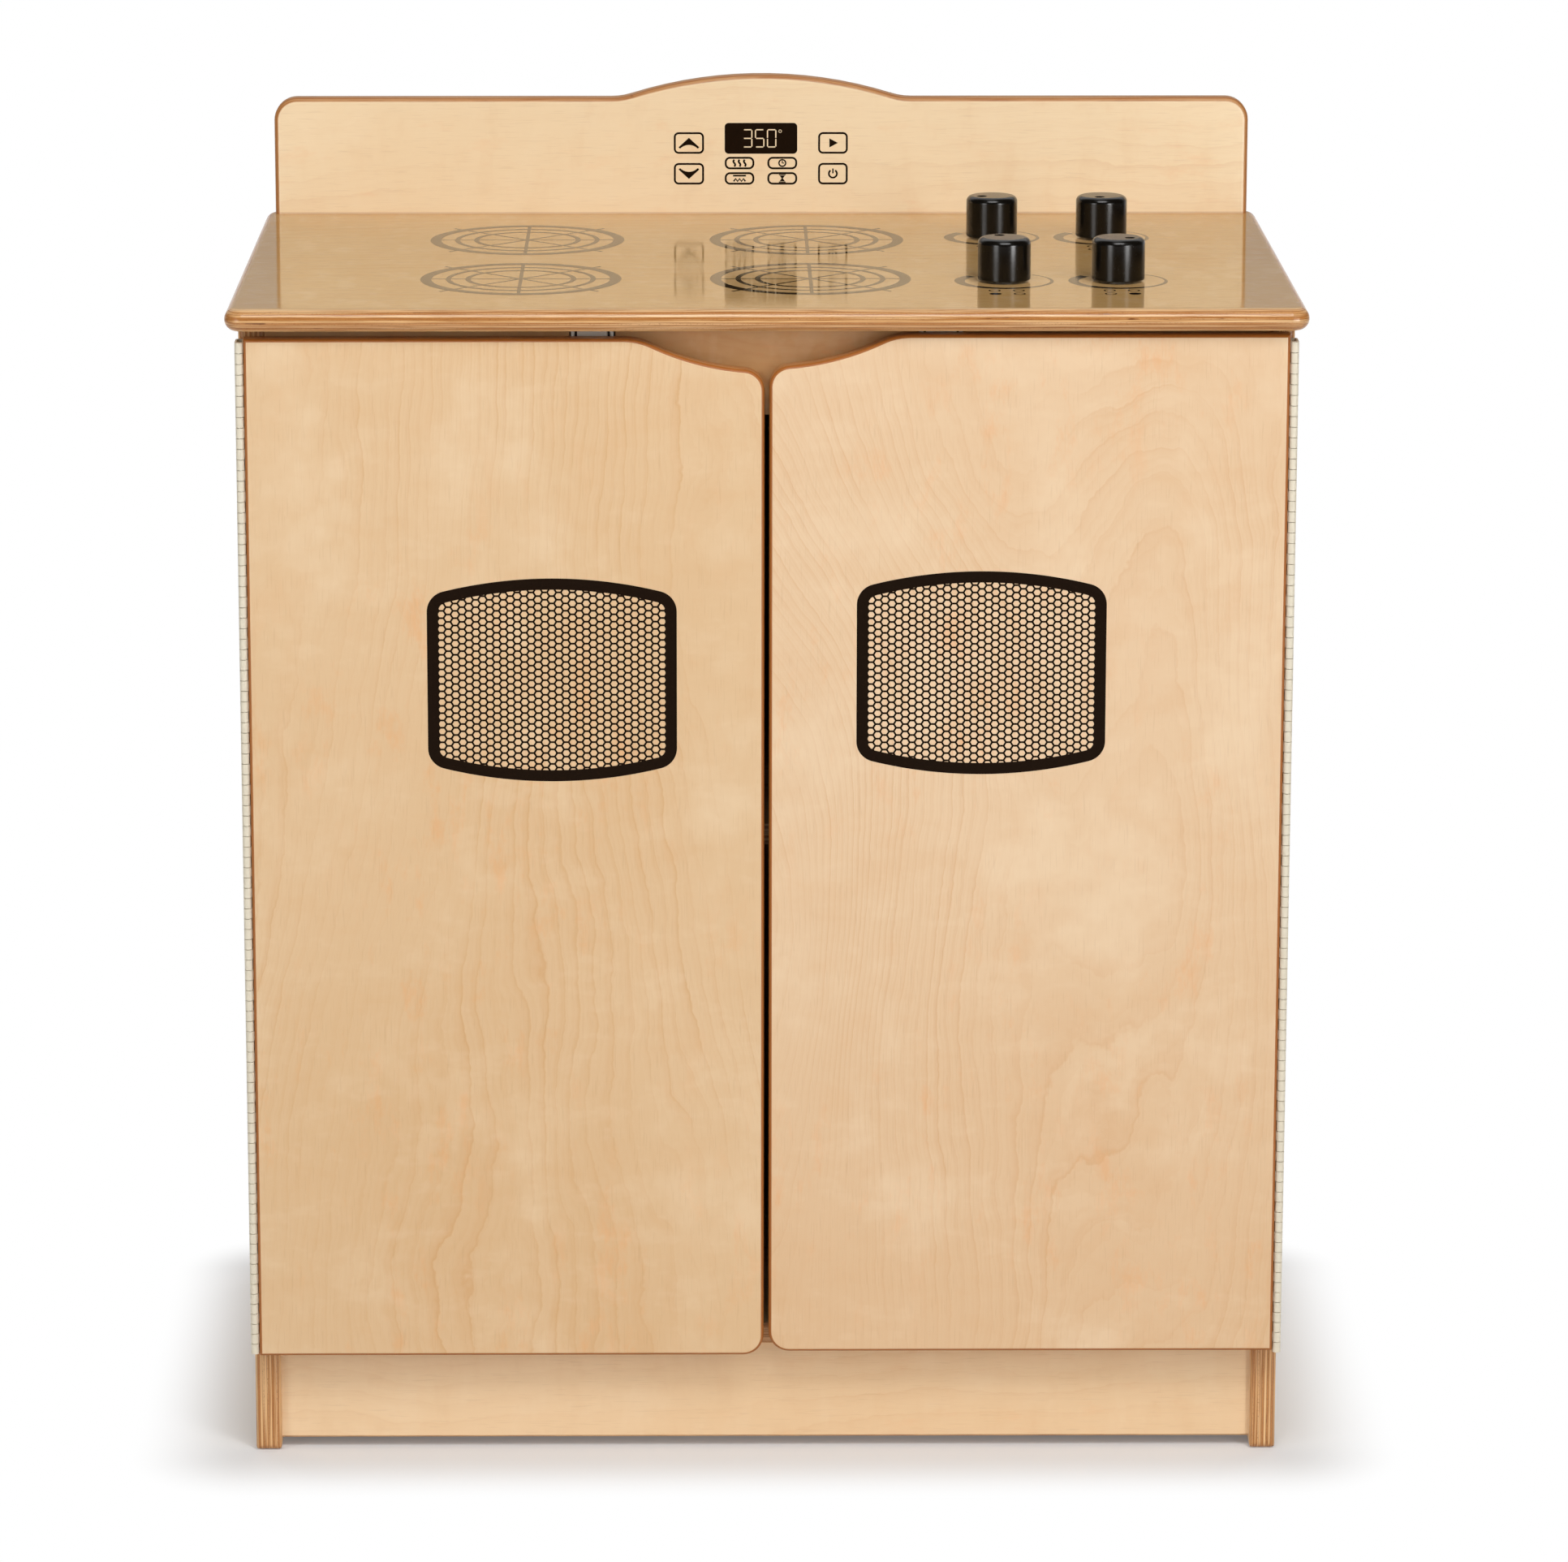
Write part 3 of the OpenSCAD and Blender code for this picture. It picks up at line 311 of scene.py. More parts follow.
def birch_veneer_effect():
    """Peeled birch veneer. X runs across the grain, Y along it and Z through the board."""
    w, given, result = new_effect(
        "Birch veneer",
        {
            "Vector": "Vector",
            "Seed": "Float",
            "Line spacing": "Float",
            "Line depth": "Float",
            "Swirl": "Float",
            "Toe": "Float",
            "Mottle": "Float",
            "Light": "Color",
            "Dark": "Color",
        },
        {"Colour": "Color", "Height": "Float", "Lines": "Float"},
    )
    away = w.calc("MULTIPLY", given["Seed"], 3.7)
    place = w.steer("ADD", given["Vector"], w.join(away, away, given["Seed"]))
    light, dark = given["Light"], given["Dark"]
    pale = w.mix(0.55, light, srgb(255, 236, 204))
    golden = w.mix(0.60, dark, srgb(240, 164, 102))
    late_wood = w.mix(0.5, dark, srgb(206, 138, 74))
    shaded = w.mix(0.5, dark, srgb(216, 158, 100))

    broad = w.ease(w.noise(place, (3.6, 2.2, 2.0), 2.0), 0.34, 0.70)
    # Painted shade: the board darkens towards its foot, where less light falls.
    along = w.split(given["Vector"])[1]
    toe = w.calc("MULTIPLY", w.ease(along, 0.52, 0.08), given["Toe"])
    share = w.calc("ADD", w.calc("MULTIPLY", broad, 0.40), toe, clamp=True)
    colour = w.mix(share, light, dark)

    line = growth_lines(w, given, place)
    colour = w.mix(w.calc("MULTIPLY", line, given["Line depth"]), colour, late_wood)

    warm = w.ease(w.noise(place, (58, 24, 20), 4.0, 0.68), 0.53, 0.74)
    warm = w.calc("MULTIPLY", warm, w.ease(w.noise(place, (6, 5, 5), 2.0), 0.38, 0.62, 0.15, 1.0))
    warm = w.calc("MULTIPLY", warm, w.calc("MULTIPLY", given["Line depth"], given["Mottle"]))
    colour = w.mix(warm, colour, golden)
    cloud = w.ease(w.noise(place, (16, 11, 15), 4.0, 0.62), 0.48, 0.74)
    cloud = w.calc("MULTIPLY", cloud, given["Mottle"])
    colour = w.mix(w.calc("MULTIPLY", cloud, 0.36), colour, pale)

    curl = w.noise(place, (30, 54, 30), 3.0, 0.6)
    colour = w.mix(w.calc("MULTIPLY", w.ease(curl, 0.50, 0.72), 0.14), colour, shaded)
    colour = w.mix(w.calc("MULTIPLY", w.ease(curl, 0.48, 0.30), 0.14), colour, pale)

    fibre = w.noise(place, (640, 11, 640), 3.0, 0.6)
    hair = w.ease(w.noise(place, (1500, 60, 1500), 1.0), 0.60, 0.74)
    tone = w.calc("ABSOLUTE", w.calc("MULTIPLY_ADD", fibre, 0.16, -0.08))
    colour = w.mix(tone, colour, srgb(206, 162, 112))
    colour = w.mix(w.calc("MULTIPLY", hair, 0.10), colour, srgb(170, 118, 70))
    colour = w.mix(w.calc("MULTIPLY", pith_flecks(w, place), 0.8), colour, srgb(116, 62, 26))

    w.feed(result["Colour"], colour)
    w.feed(result["Height"], w.calc("SUBTRACT", fibre, w.calc("MULTIPLY", hair, 0.7)))
    w.feed(result["Lines"], line)
    return w.tree


def plywood_edge_effect():
    """The cut edge of plywood: plies with the grain turned by turns, glue lines and core gaps."""
    w, given, result = new_effect(
        "Plywood edge",
        {
            "Vector": "Vector",
            "Normal": "Vector",
            "Depth": "Float",
            "Plies": "Float",
            "Seed": "Float",
            "Burnish": "Float",
        },
        {"Colour": "Color", "Height": "Float", "Edge": "Float"},
    )
    across, along, through = w.split(w.steer("ABSOLUTE", given["Normal"]))
    away = w.calc("MULTIPLY", given["Seed"], 5.3)
    place = w.steer("ADD", given["Vector"], w.join(away, given["Seed"], away))
    wander = w.calc("MULTIPLY_ADD", w.noise(place, (16, 16, 40), 2.0), 0.34, -0.17)
    stack = w.calc("MULTIPLY_ADD", given["Depth"], given["Plies"], wander)
    ply = w.calc("FLOOR", stack)
    crossed = w.calc("ABSOLUTE", w.calc("FLOORED_MODULO", ply, 2.0))
    from_mid = w.calc("ABSOLUTE", w.calc("SUBTRACT", w.calc("FRACT", stack), 0.5))
    cut = w.calc("MULTIPLY", across, crossed)
    cut = w.calc("ADD", cut, w.calc("MULTIPLY", along, w.calc("SUBTRACT", 1.0, crossed)))
    end_grain = w.ease(cut, 0.25, 0.85)
    streak = w.noise(place, (26, 26, 2300), 4.0, 0.65)
    broad = w.noise(place, (9, 9, 900), 2.0)
    speck = w.noise(place, (900, 900, 1600), 2.0)
    tone = w.chance(w.calc("ADD", ply, given["Seed"]))
    colour = w.mix(end_grain, srgb(238, 192, 134), srgb(192, 130, 70))
    colour = w.mix(w.calc("MULTIPLY", tone, 0.45), colour, srgb(188, 130, 74))
    shade = w.calc("MULTIPLY", w.ease(streak, 0.44, 0.62), 0.80)
    colour = w.mix(shade, colour, srgb(166, 106, 52))
    colour = w.mix(w.calc("MULTIPLY", w.ease(broad, 0.48, 0.68), 0.60), colour, srgb(248, 210, 156))
    speckled = w.calc("MULTIPLY", w.ease(speck, 0.5, 0.75), w.calc("MULTIPLY", end_grain, 0.45))
    colour = w.mix(speckled, colour, srgb(136, 84, 44))
    glue = w.ease(from_mid, 0.38, 0.48)
    colour = w.mix(w.calc("MULTIPLY", glue, 0.70), colour, srgb(136, 80, 38))
    gap = w.ease(w.noise(place, (70, 70, 420), 2.0, 0.6), 0.50, 0.64)
    gap = w.calc("MULTIPLY", gap, w.ease(w.noise(place, (9, 9, 260), 1.0), 0.60, 0.68))
    gap = w.calc("MULTIPLY", gap, crossed)
    colour = w.mix(w.calc("MULTIPLY", gap, 0.85), colour, srgb(96, 50, 22))
    edge = w.ease(through, 0.91, 0.995, 1.0, 0.0)
    # Brown on the edges, full on the rounded arris and 0.45 on the flat edge: partly burnish and partly
    # painted shade, most on the doors, whose edges sit in shade under the worktop.
    arris = w.calc("MULTIPLY", edge, w.ease(through, 0.02, 0.30, 0.45, 1.0))
    arris = w.calc("MULTIPLY", arris, given["Burnish"])
    colour = w.mix(arris, colour, srgb(164, 96, 34))
    height = w.calc("SUBTRACT", w.calc("MULTIPLY", streak, 0.6), w.calc("MULTIPLY", gap, 1.5))
    w.feed(result["Colour"], colour)
    w.feed(result["Height"], w.calc("SUBTRACT", height, w.calc("MULTIPLY", glue, 0.3)))
    w.feed(result["Edge"], edge)
    return w.tree


def handling_effect():
    """Where hands and cloths have been: a soft mask that changes the shine a little."""
    w, given, result = new_effect("Handling", {"Vector": "Vector"}, {"Smudge": "Float"})
    broad = w.noise(given["Vector"], (11, 11, 11), 3.0, 0.6)
    rubbed = w.noise(given["Vector"], (60, 60, 60), 2.0)
    w.feed(result["Smudge"], w.calc("MULTIPLY", w.ease(broad, 0.42, 0.70), w.ease(rubbed, 0.3, 0.7)))
    return w.tree


def fine_scratch_effect():
    """Fine scratches and pits of plated or turned metal."""
    w, given, result = new_effect(
        "Fine scratches", {"Vector": "Vector"}, {"Mask": "Float", "Height": "Float"}
    )
    one_way = w.noise(given["Vector"], (3000, 180, 1200), 2.0, 0.6)
    other_way = w.noise(given["Vector"], (200, 2600, 900), 2.0, 0.6)
    mask = w.ease(w.calc("MAXIMUM", one_way, other_way), 0.55, 0.8)
    w.feed(result["Mask"], mask)
    w.feed(result["Height"], w.calc("MULTIPLY", mask, -1.0))
    return w.tree


def painted_coat_effect():
    """The fine orange peel of a powder coat, and the grime that settles into it."""
    w, given, result = new_effect(
        "Painted coat", {"Vector": "Vector"}, {"Height": "Float", "Grime": "Float"}
    )
    peel = w.noise(given["Vector"], (1700, 1700, 1700), 2.0, 0.5)
    grime = w.ease(w.noise(given["Vector"], (240, 240, 60), 3.0, 0.6), 0.52, 0.8)
    w.feed(result["Height"], peel)
    w.feed(result["Grime"], grime)
    return w.tree


BIRCH = birch_veneer_effect()
PLY_EDGE = plywood_edge_effect()
HANDLING = handling_effect()
SCRATCHES = fine_scratch_effect()
PAINTED = painted_coat_effect()

AXES = "XYZ"


def turned(w, vector, grain, depth):
    """A rest-frame vector turned into a board's own: across the grain, along it, through the board."""
    parts = dict(zip(AXES, w.split(vector)))
    across = next(axis for axis in AXES if axis not in (grain, depth))
    return w.join(parts[across], parts[grain], parts[depth])


# Finishes

# One board: the axes of its grain and of its thickness, and its plies; the veneer's light and dark
# tone; the spacing in mm, depth and swirl of its growth lines; how brown its edges are, partly
# burnish and partly painted shade; how much painted shade darkens its foot; how mottled it is; and
# whether its lacquer is glossy.
Board = namedtuple(
    "Board", "grain depth plies light dark spacing lines swirl burnish toe mottle gloss",
    defaults=(0.0, 1.0, False),
)


def birch_board(node, seed, board):
    """Lacquered birch plywood for one board, with its plies counted through its own thickness."""
    material, w = new_material("lacquered birch, " + node.replace("_", " "))
    low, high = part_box(node)
    axis = AXES.index(board.depth)
    place = turned(w, w.rest_place(), board.grain, board.depth)
    through = w.calc("SUBTRACT", w.split(place)[2], low[axis])
    through = w.calc("DIVIDE", through, high[axis] - low[axis])
    face = w.effect(BIRCH, {
        "Vector": place, "Seed": seed, "Line spacing": board.spacing * MM,
        "Line depth": board.lines, "Swirl": board.swirl, "Toe": board.toe, "Mottle": board.mottle,
        "Light": board.light, "Dark": board.dark,
    })
    edge = w.effect(PLY_EDGE, {
        "Vector": place, "Normal": turned(w, w.rest_normal(), board.grain, board.depth),
        "Depth": through, "Plies": float(board.plies), "Seed": seed, "Burnish": board.burnish,
    })
    smudge = w.effect(HANDLING, {"Vector": place})["Smudge"]
    colour = w.mix(edge["Edge"], face["Colour"], edge["Colour"])
    if node == "backsplash":
        # A brown line along the foot of the backsplash, strongest at the seam with the worktop and gone
        # 1.6 mm above it.
        above = w.calc("SUBTRACT", w.split(w.rest_place())[2], WORKTOP_TOP)
        colour = w.mix(w.ease(above, *SEAM_FADE, SEAM_DEPTH, 0.0), colour, srgb(172, 106, 52))
    face_height = w.calc("MULTIPLY", face["Height"], w.calc("SUBTRACT", 1.0, edge["Edge"]))
    height = w.calc("ADD", face_height, w.calc("MULTIPLY", edge["Height"], edge["Edge"]))
    if board.gloss:
        rough = w.calc("MULTIPLY_ADD", smudge, 0.04, 0.05)
        rough = w.calc("ADD", rough, w.calc("MULTIPLY", edge["Edge"], 0.16))
        normal = w.bump(height, GLOSS_RIPPLE, 1.0)
        fixed = {"IOR": 1.45, "Coat Weight": 0.0}
    else:
        rough = w.calc("MULTIPLY_ADD", smudge, -0.10, 0.44)
        rough = w.calc("ADD", rough, w.calc("MULTIPLY", face["Lines"], 0.05))
        normal = w.bump(height, LACQUER_RIPPLE, 0.5)
        fixed = {"IOR": 1.45, "Coat Weight": 0.12, "Coat Roughness": 0.22}
    surface(w, {"Base Color": colour, "Roughness": rough, "Normal": normal, **fixed})
    return material


def cream_powder_coat():
    material, w = new_material("cream powder coat")
    place = w.rest_place()
    coat = w.effect(PAINTED, {"Vector": place})
    colour = w.mix(w.calc("MULTIPLY", coat["Grime"], 0.25), srgb(226, 216, 194), srgb(196, 180, 150))
    rough = w.calc("MULTIPLY_ADD", coat["Grime"], 0.12, 0.42)
    surface(w, {
        "Base Color": colour, "Roughness": rough, "Normal": w.bump(coat["Height"], 0.01 * MM, 0.5),
        "IOR": 1.5,
    })
    return material


def metal(name, colour, worn, rough, height=SCRATCH_DEPTH, metallic=1.0):
    """A bare or plated metal with fine scratches and a slight change of tone; a dull, chalky plating
    is less metallic."""
    material, w = new_material(name)
    place = w.rest_place()
    marks = w.effect(SCRATCHES, {"Vector": place})
    smudge = w.effect(HANDLING, {"Vector": place})["Smudge"]
    tone = w.mix(w.calc("MULTIPLY", smudge, 0.5), colour, worn)
    shine = w.calc("MULTIPLY_ADD", marks["Mask"], 0.14, rough)
    surface(w, {
        "Base Color": tone, "Roughness": w.calc("ADD", shine, w.calc("MULTIPLY", smudge, 0.08)),
        "Normal": w.bump(marks["Height"], height, 0.5), "Metallic": metallic,
    })
    return material


def moulded_nylon(name, colour, shaded):
    material, w = new_material(name)
    place = w.rest_place()
    coat = w.effect(PAINTED, {"Vector": place})
    tone = w.mix(w.calc("MULTIPLY", coat["Grime"], 0.4), colour, shaded)
    surface(w, {
        "Base Color": tone, "Roughness": w.calc("MULTIPLY_ADD", coat["Height"], 0.1, 0.38),
        "Normal": w.bump(coat["Height"], 0.008 * MM, 0.4), "Subsurface Weight": 0.06,
    })
    return material


def black_lacquered_wood():
    """Turned maple under black lacquer: upright fibres and small pits show in the shine."""
    material, w = new_material("black lacquered wood")
    place = w.rest_place()
    fibre = w.noise(place, (900, 900, 60), 3.0, 0.6)
    pit = w.ease(w.noise(place, (1500, 1500, 420), 2.0), 0.66, 0.80)
    smudge = w.effect(HANDLING, {"Vector": place})["Smudge"]
    dust = w.ease(w.noise(place, (700, 700, 700), 1.0), 0.70, 0.80)
    colour = w.mix(w.calc("MULTIPLY", fibre, 0.5), srgb(8, 7, 5), srgb(24, 18, 11))
    colour = w.mix(w.calc("MULTIPLY", dust, 0.05), colour, srgb(140, 130, 112))
    height = w.calc("SUBTRACT", w.calc("MULTIPLY", fibre, 0.8), pit)
    rough = w.calc("MULTIPLY_ADD", smudge, 0.08, 0.20)
    surface(w, {
        "Base Color": colour, "Roughness": w.calc("ADD", rough, w.calc("MULTIPLY", pit, 0.2)),
        "Normal": w.bump(height, 0.02 * MM, 0.5), "Specular IOR Level": 0.5,
    })
    return material


def ink(name, colour, thin, rough, height, shine, fibres=(640, 11, 640)):
    """Printed ink: a little thinner over the fibres of the wood that it lies on."""
    material, w = new_material(name)
    place = w.rest_place()
    fibre = w.noise(place, fibres, 3.0, 0.6)
    worn = w.ease(w.noise(place, (420, 420, 420), 2.0), 0.58, 0.85)
    smudge = w.effect(HANDLING, {"Vector": place})["Smudge"]
    tone = w.mix(w.calc("MULTIPLY", w.calc("ADD", fibre, worn), 0.4), colour, thin)
    surface(w, {
        "Base Color": tone, "Roughness": w.calc("MULTIPLY_ADD", smudge, 0.05, rough),
        "Normal": w.bump(fibre, height, 1.0), "IOR": 1.45, "Specular IOR Level": shine,
    })
    return material


def finish_node(node, material):
    """Gives a CAD node its finish."""
    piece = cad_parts[node]
    for place in piece.material_slots:
        place.material = material


def finish_boards():
    pale, tan = srgb(229, 196, 155), srgb(214, 174, 124)
    rose, rust = srgb(234, 203, 166), srgb(219, 179, 134)
    inside, inside_line = srgb(222, 184, 136), srgb(198, 152, 100)
    boards = {
        "worktop": Board("X", "Z", 9, srgb(208, 167, 108), srgb(192, 148, 88), 14, 0.5, 0.14, 0.15,
                         mottle=0.30, gloss=True),
        "backsplash": Board("X", "Y", 9, srgb(250, 226, 188), srgb(241, 212, 170), 13, 0.26, 0.10, 0.52),
        # The doors get painted shade towards their foot, and their edges get painted shade at full
        # strength.
        "left_door": Board("Z", "Y", 9, pale, tan, 10, 0.50, 0.34, 1.0, toe=0.28),
        "right_door": Board("Z", "Y", 9, rose, rust, 11, 0.50, 0.70, 1.0, toe=0.55),
        "left_side": Board("Z", "X", 11, pale, tan, 11, 0.5, 0.40, 0.15),
        "right_side": Board("Z", "X", 11, rose, rust, 11, 0.5, 0.50, 0.15),
        "bottom_shelf": Board("X", "Z", 9, inside, inside_line, 14, 0.8, 0.20, 0.3),
        "middle_shelf": Board("X", "Z", 9, inside, inside_line, 14, 0.8, 0.25, 0.3),
        # The front rail is coloured darker and warmer than the other inside boards: painted shade from
        # the worktop's overhang and the closed doors.
        "front_rail": Board("X", "Y", 9, srgb(218, 170, 114), srgb(194, 143, 88), 13, 0.8, 0.12, 0.3),
        "rear_rail": Board("X", "Y", 9, inside, inside_line, 13, 0.8, 0.10, 0.3),
        "toe_kick": Board("X", "Y", 9, srgb(243, 210, 168), srgb(232, 194, 147), 12, 0.20, 0.08, 0.3),
        "back_panel": Board("Z", "Y", 5, pale, tan, 12, 0.6, 0.60, 0.2),
        "left_cleat": Board("Y", "Z", 1, inside, inside_line, 9, 0.9, 0.10, 0.2),
        "right_cleat": Board("Y", "Z", 1, inside, inside_line, 9, 0.9, 0.12, 0.2),
        "dowels": Board("X", "Z", 1, pale, tan, 6, 0.6, 0.05, 0.0),
    }
    for seed, (node, board) in enumerate(boards.items(), 1):
        finish_node(node, birch_board(node, float(seed), board))


def finish_fittings():
    zinc = metal("bright zinc plate", srgb(222, 223, 224), srgb(196, 192, 182), 0.30)
    brass = metal("turned brass", srgb(226, 192, 116), srgb(186, 146, 78), 0.26)
    steel = metal("ground steel", srgb(206, 204, 200), srgb(170, 166, 158), 0.24, 0.005 * MM)
    cream = cream_powder_coat()
    magnet = metal("dull nickel plate", srgb(222, 215, 204), srgb(190, 182, 170), 0.60, metallic=0.35)
    # Near-black steel for the catch's pole plates.
    dark = metal("near-black steel", srgb(62, 58, 54), srgb(84, 76, 68), 0.40)
    housing = metal("satin zinc plate", srgb(232, 228, 220), srgb(206, 200, 190), 0.60, metallic=0.35)
    nylon = moulded_nylon("bushing nylon", srgb(228, 226, 218), srgb(204, 200, 190))
    finishes = {
        "cleat_screws": zinc, "backsplash_screws": zinc, "back_panel_screws": zinc,
        "catch_screws": zinc, "knob_washers": zinc, "knob_bushings": nylon,
    }
    for side in ("left", "right"):
        finishes[side + "_frame_leaf"] = cream
        finishes[side + "_door_leaf"] = cream
        finishes[side + "_hinge_pin"] = steel
        finishes[side + "_catch_housing"] = housing
        finishes[side + "_catch_magnet"] = magnet
        finishes[side + "_catch_poles"] = dark
        for fitting in ("frame_leaf_screws", "door_leaf_screws"):
            finishes[side + "_" + fitting] = cream
        for fitting in ("strike_plate", "strike_screw"):
            finishes[side + "_" + fitting] = zinc
    knob = black_lacquered_wood()
    for corner in KNOBS:
        finishes[corner + "_knob"] = knob
        finishes[corner + "_insert"] = brass
        finishes[corner + "_bolt"] = zinc
    for node, material in finishes.items():
        finish_node(node, material)


# Printing: outlines are lists of (across, up) points, counter-clockwise


def circle(cx, cy, r, start=0.0, end=360.0, steps=72):
    """Points on an arc; a full turn leaves out the last point, which is the first again."""
    count = steps if end - start >= 360 else steps + 1
    angles = [math.radians(start + (end - start) * i / steps) for i in range(count)]
    return [(cx + r * math.cos(a), cy + r * math.sin(a)) for a in angles]


def round_rect(x0, x1, y0, y1, r, steps=8):
    corners = ((x1 - r, y1 - r, 0), (x0 + r, y1 - r, 90), (x0 + r, y0 + r, 180), (x1 - r, y0 + r, 270))
    return [p for cx, cy, a in corners for p in circle(cx, cy, r, a, a + 90, steps)]


def band(outer, inner):
    """Cells between two closed outlines that have the same number of points."""
    turn = range(len(outer))
    return [[outer[i], outer[i - 1], inner[i - 1], inner[i]][::-1] for i in turn]


def strip(one_side, other_side):
    """Cells between two open lines: the first lies on the right of the way that they run."""
    return [
        [one_side[i], one_side[i + 1], other_side[i + 1], other_side[i]]
        for i in range(len(one_side) - 1)
    ]


def stroke(points, width):
    """Cells of a line of this width along open points, mitred at its bends."""
    right, left = [], []
    for i, here in enumerate(points):
        before = points[max(i - 1, 0)]
        after = points[min(i + 1, len(points) - 1)]
        run = Vector((after[0] - before[0], after[1] - before[1])).normalized()
        side = Vector((run.y, -run.x)) * width / 2
        right.append((here[0] + side.x, here[1] + side.y))
        left.append((here[0] - side.x, here[1] - side.y))
    return strip(right, left)


def raise_ink(bm, cells, lay, lift):
    """Adds one closed, very thin solid for cells that share their corners."""
    corners = {}

    def corner(point, height):
        key = (round(point[0], 7), round(point[1], 7), height)
        if key not in corners:
            corners[key] = bm.verts.new(lay(point[0], point[1], height))
        return corners[key]

    edges = set()
    for cell in cells:
        bm.faces.new([corner(p, lift) for p in cell])
        bm.faces.new([corner(p, -INK_SINK) for p in reversed(cell)])
        rounded = [(round(p[0], 7), round(p[1], 7)) for p in cell]
        edges.update(zip(rounded, rounded[1:] + rounded[:1]))
    for a, b in edges:
        if (b, a) not in edges:
            bm.faces.new([corner(a, -INK_SINK), corner(b, -INK_SINK), corner(b, lift), corner(a, lift)])


def print_piece(name, body, material, lay, layers):
    """One printed piece: each layer is (cells, lift), and is a closed solid of its own."""
    bm = bmesh.new()
    for cells, lift in layers:
        raise_ink(bm, cells, lay, lift)
    bmesh.ops.recalc_face_normals(bm, faces=bm.faces)
    mesh = bpy.data.meshes.new(name)
    bm.to_mesh(mesh)
    bm.free()
    mesh.materials.append(material)
    piece = bpy.data.objects.new(name, mesh)
    bpy.context.scene.collection.objects.link(piece)
    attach(piece, body)
    return piece


def on_worktop(x, y, height):
    return (x, y, WORKTOP_TOP + height)


def on_backsplash(x, z, height):
    return (x, BACKSPLASH_FACE - height, WORKTOP_TOP + z)


def on_door(x, z, height):
    return (x, DOOR_FACE - height, z)


def print_burners(material):
    for row, behind in zip(("front", "back"), BURNER_BEHIND):
        for side, x in zip(("left", "right"), BURNER_X):
            y = FRONT_LINE + behind
            layers = [
                (band(circle(x, y, outer), circle(x, y, inner)), INK_OVER)
                for outer, inner in BURNER_RINGS
            ]
            for turn, reach in ((0, SPOKE_R), (90, SPOKE_R), (45, LONG_SPOKE_R), (135, LONG_SPOKE_R)):
                dx, dy = math.cos(math.radians(turn)) * reach, math.sin(math.radians(turn)) * reach
                lift = INK_LIFT - turn * 0.00005 * MM
                layers.append((stroke([(x - dx, y - dy), (x + dx, y + dy)], SPOKE_W), lift))
            print_piece(f"{row}_{side}_burner_print", "cabinet", material, on_worktop,
                        layers)


def print_dials(material):
    """Round each knob a crescent that narrows as it turns, and in front of it four rings, of which
    the filled one says which burner the knob is for."""
    steps = 64
    for knob in KNOBS:
        low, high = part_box(knob + "_knob")
        x, y = (low.x + high.x) / 2, (low.y + high.y) / 2
        outer, inner = [], []
        for i in range(steps + 1):
            share = i / steps
            angle = math.radians(DIAL_START + (DIAL_END - DIAL_START) * share)
            r = DIAL_R - DIAL_WIDE + (DIAL_WIDE - DIAL_NARROW) * share
            outer.append((x + DIAL_R * math.cos(angle), y + DIAL_R * math.sin(angle)))
            inner.append((x + r * math.cos(angle), y + r * math.sin(angle)))
        layers = [(strip(outer, inner), INK_LIFT)]
        for row, step_y in (("back", 0.5), ("front", -0.5)):
            for side, step_x in (("left", -0.5), ("right", 0.5)):
                cx, cy = x + SIGN_SPACING[0] * step_x, y - SIGN_FRONT + SIGN_SPACING[1] * step_y
                rim = circle(cx, cy, SIGN_R, steps=32)
                if f"{row}_{side}" == knob:
                    layers.append(([rim], INK_LIFT))
                else:
                    layers.append((band(rim, circle(cx, cy, SIGN_R - SIGN_LINE, steps=32)), INK_LIFT))
        print_piece(knob + "_dial_print", "cabinet", material, on_worktop, layers)


def window_outline(x, z, inset):
    """A window with upright sides, bowed top and bottom and round corners, drawn in by an inset."""
    half = WINDOW_W / 2 - inset
    bow = WINDOW_BOW_R - inset
    r = WINDOW_CORNER_R - inset
    bow_mid = WINDOW_H / 2 - WINDOW_BOW_R
    corner_x = half - r
    corner_z = bow_mid + math.sqrt((bow - r) ** 2 - corner_x ** 2)
    lean = math.degrees(math.atan2(corner_z - bow_mid, corner_x))
    top = circle(corner_x, corner_z, r, 0, lean, 10)
    top += circle(0, bow_mid, bow, lean, 180 - lean, 40)[1:-1]
    top += circle(-corner_x, corner_z, r, 180 - lean, 180, 10)
    bottom = [(-u, -v) for u, v in top]
    return [(x + u, z + v) for u, v in top + bottom]


def inside_outline(point, outline):
    """Whether a point lies inside a convex counter-clockwise outline."""
    ends = zip(outline, outline[1:] + outline[:1])
    return all(
        (b[0] - a[0]) * (point[1] - a[1]) >= (b[1] - a[1]) * (point[0] - a[0]) for a, b in ends
    )


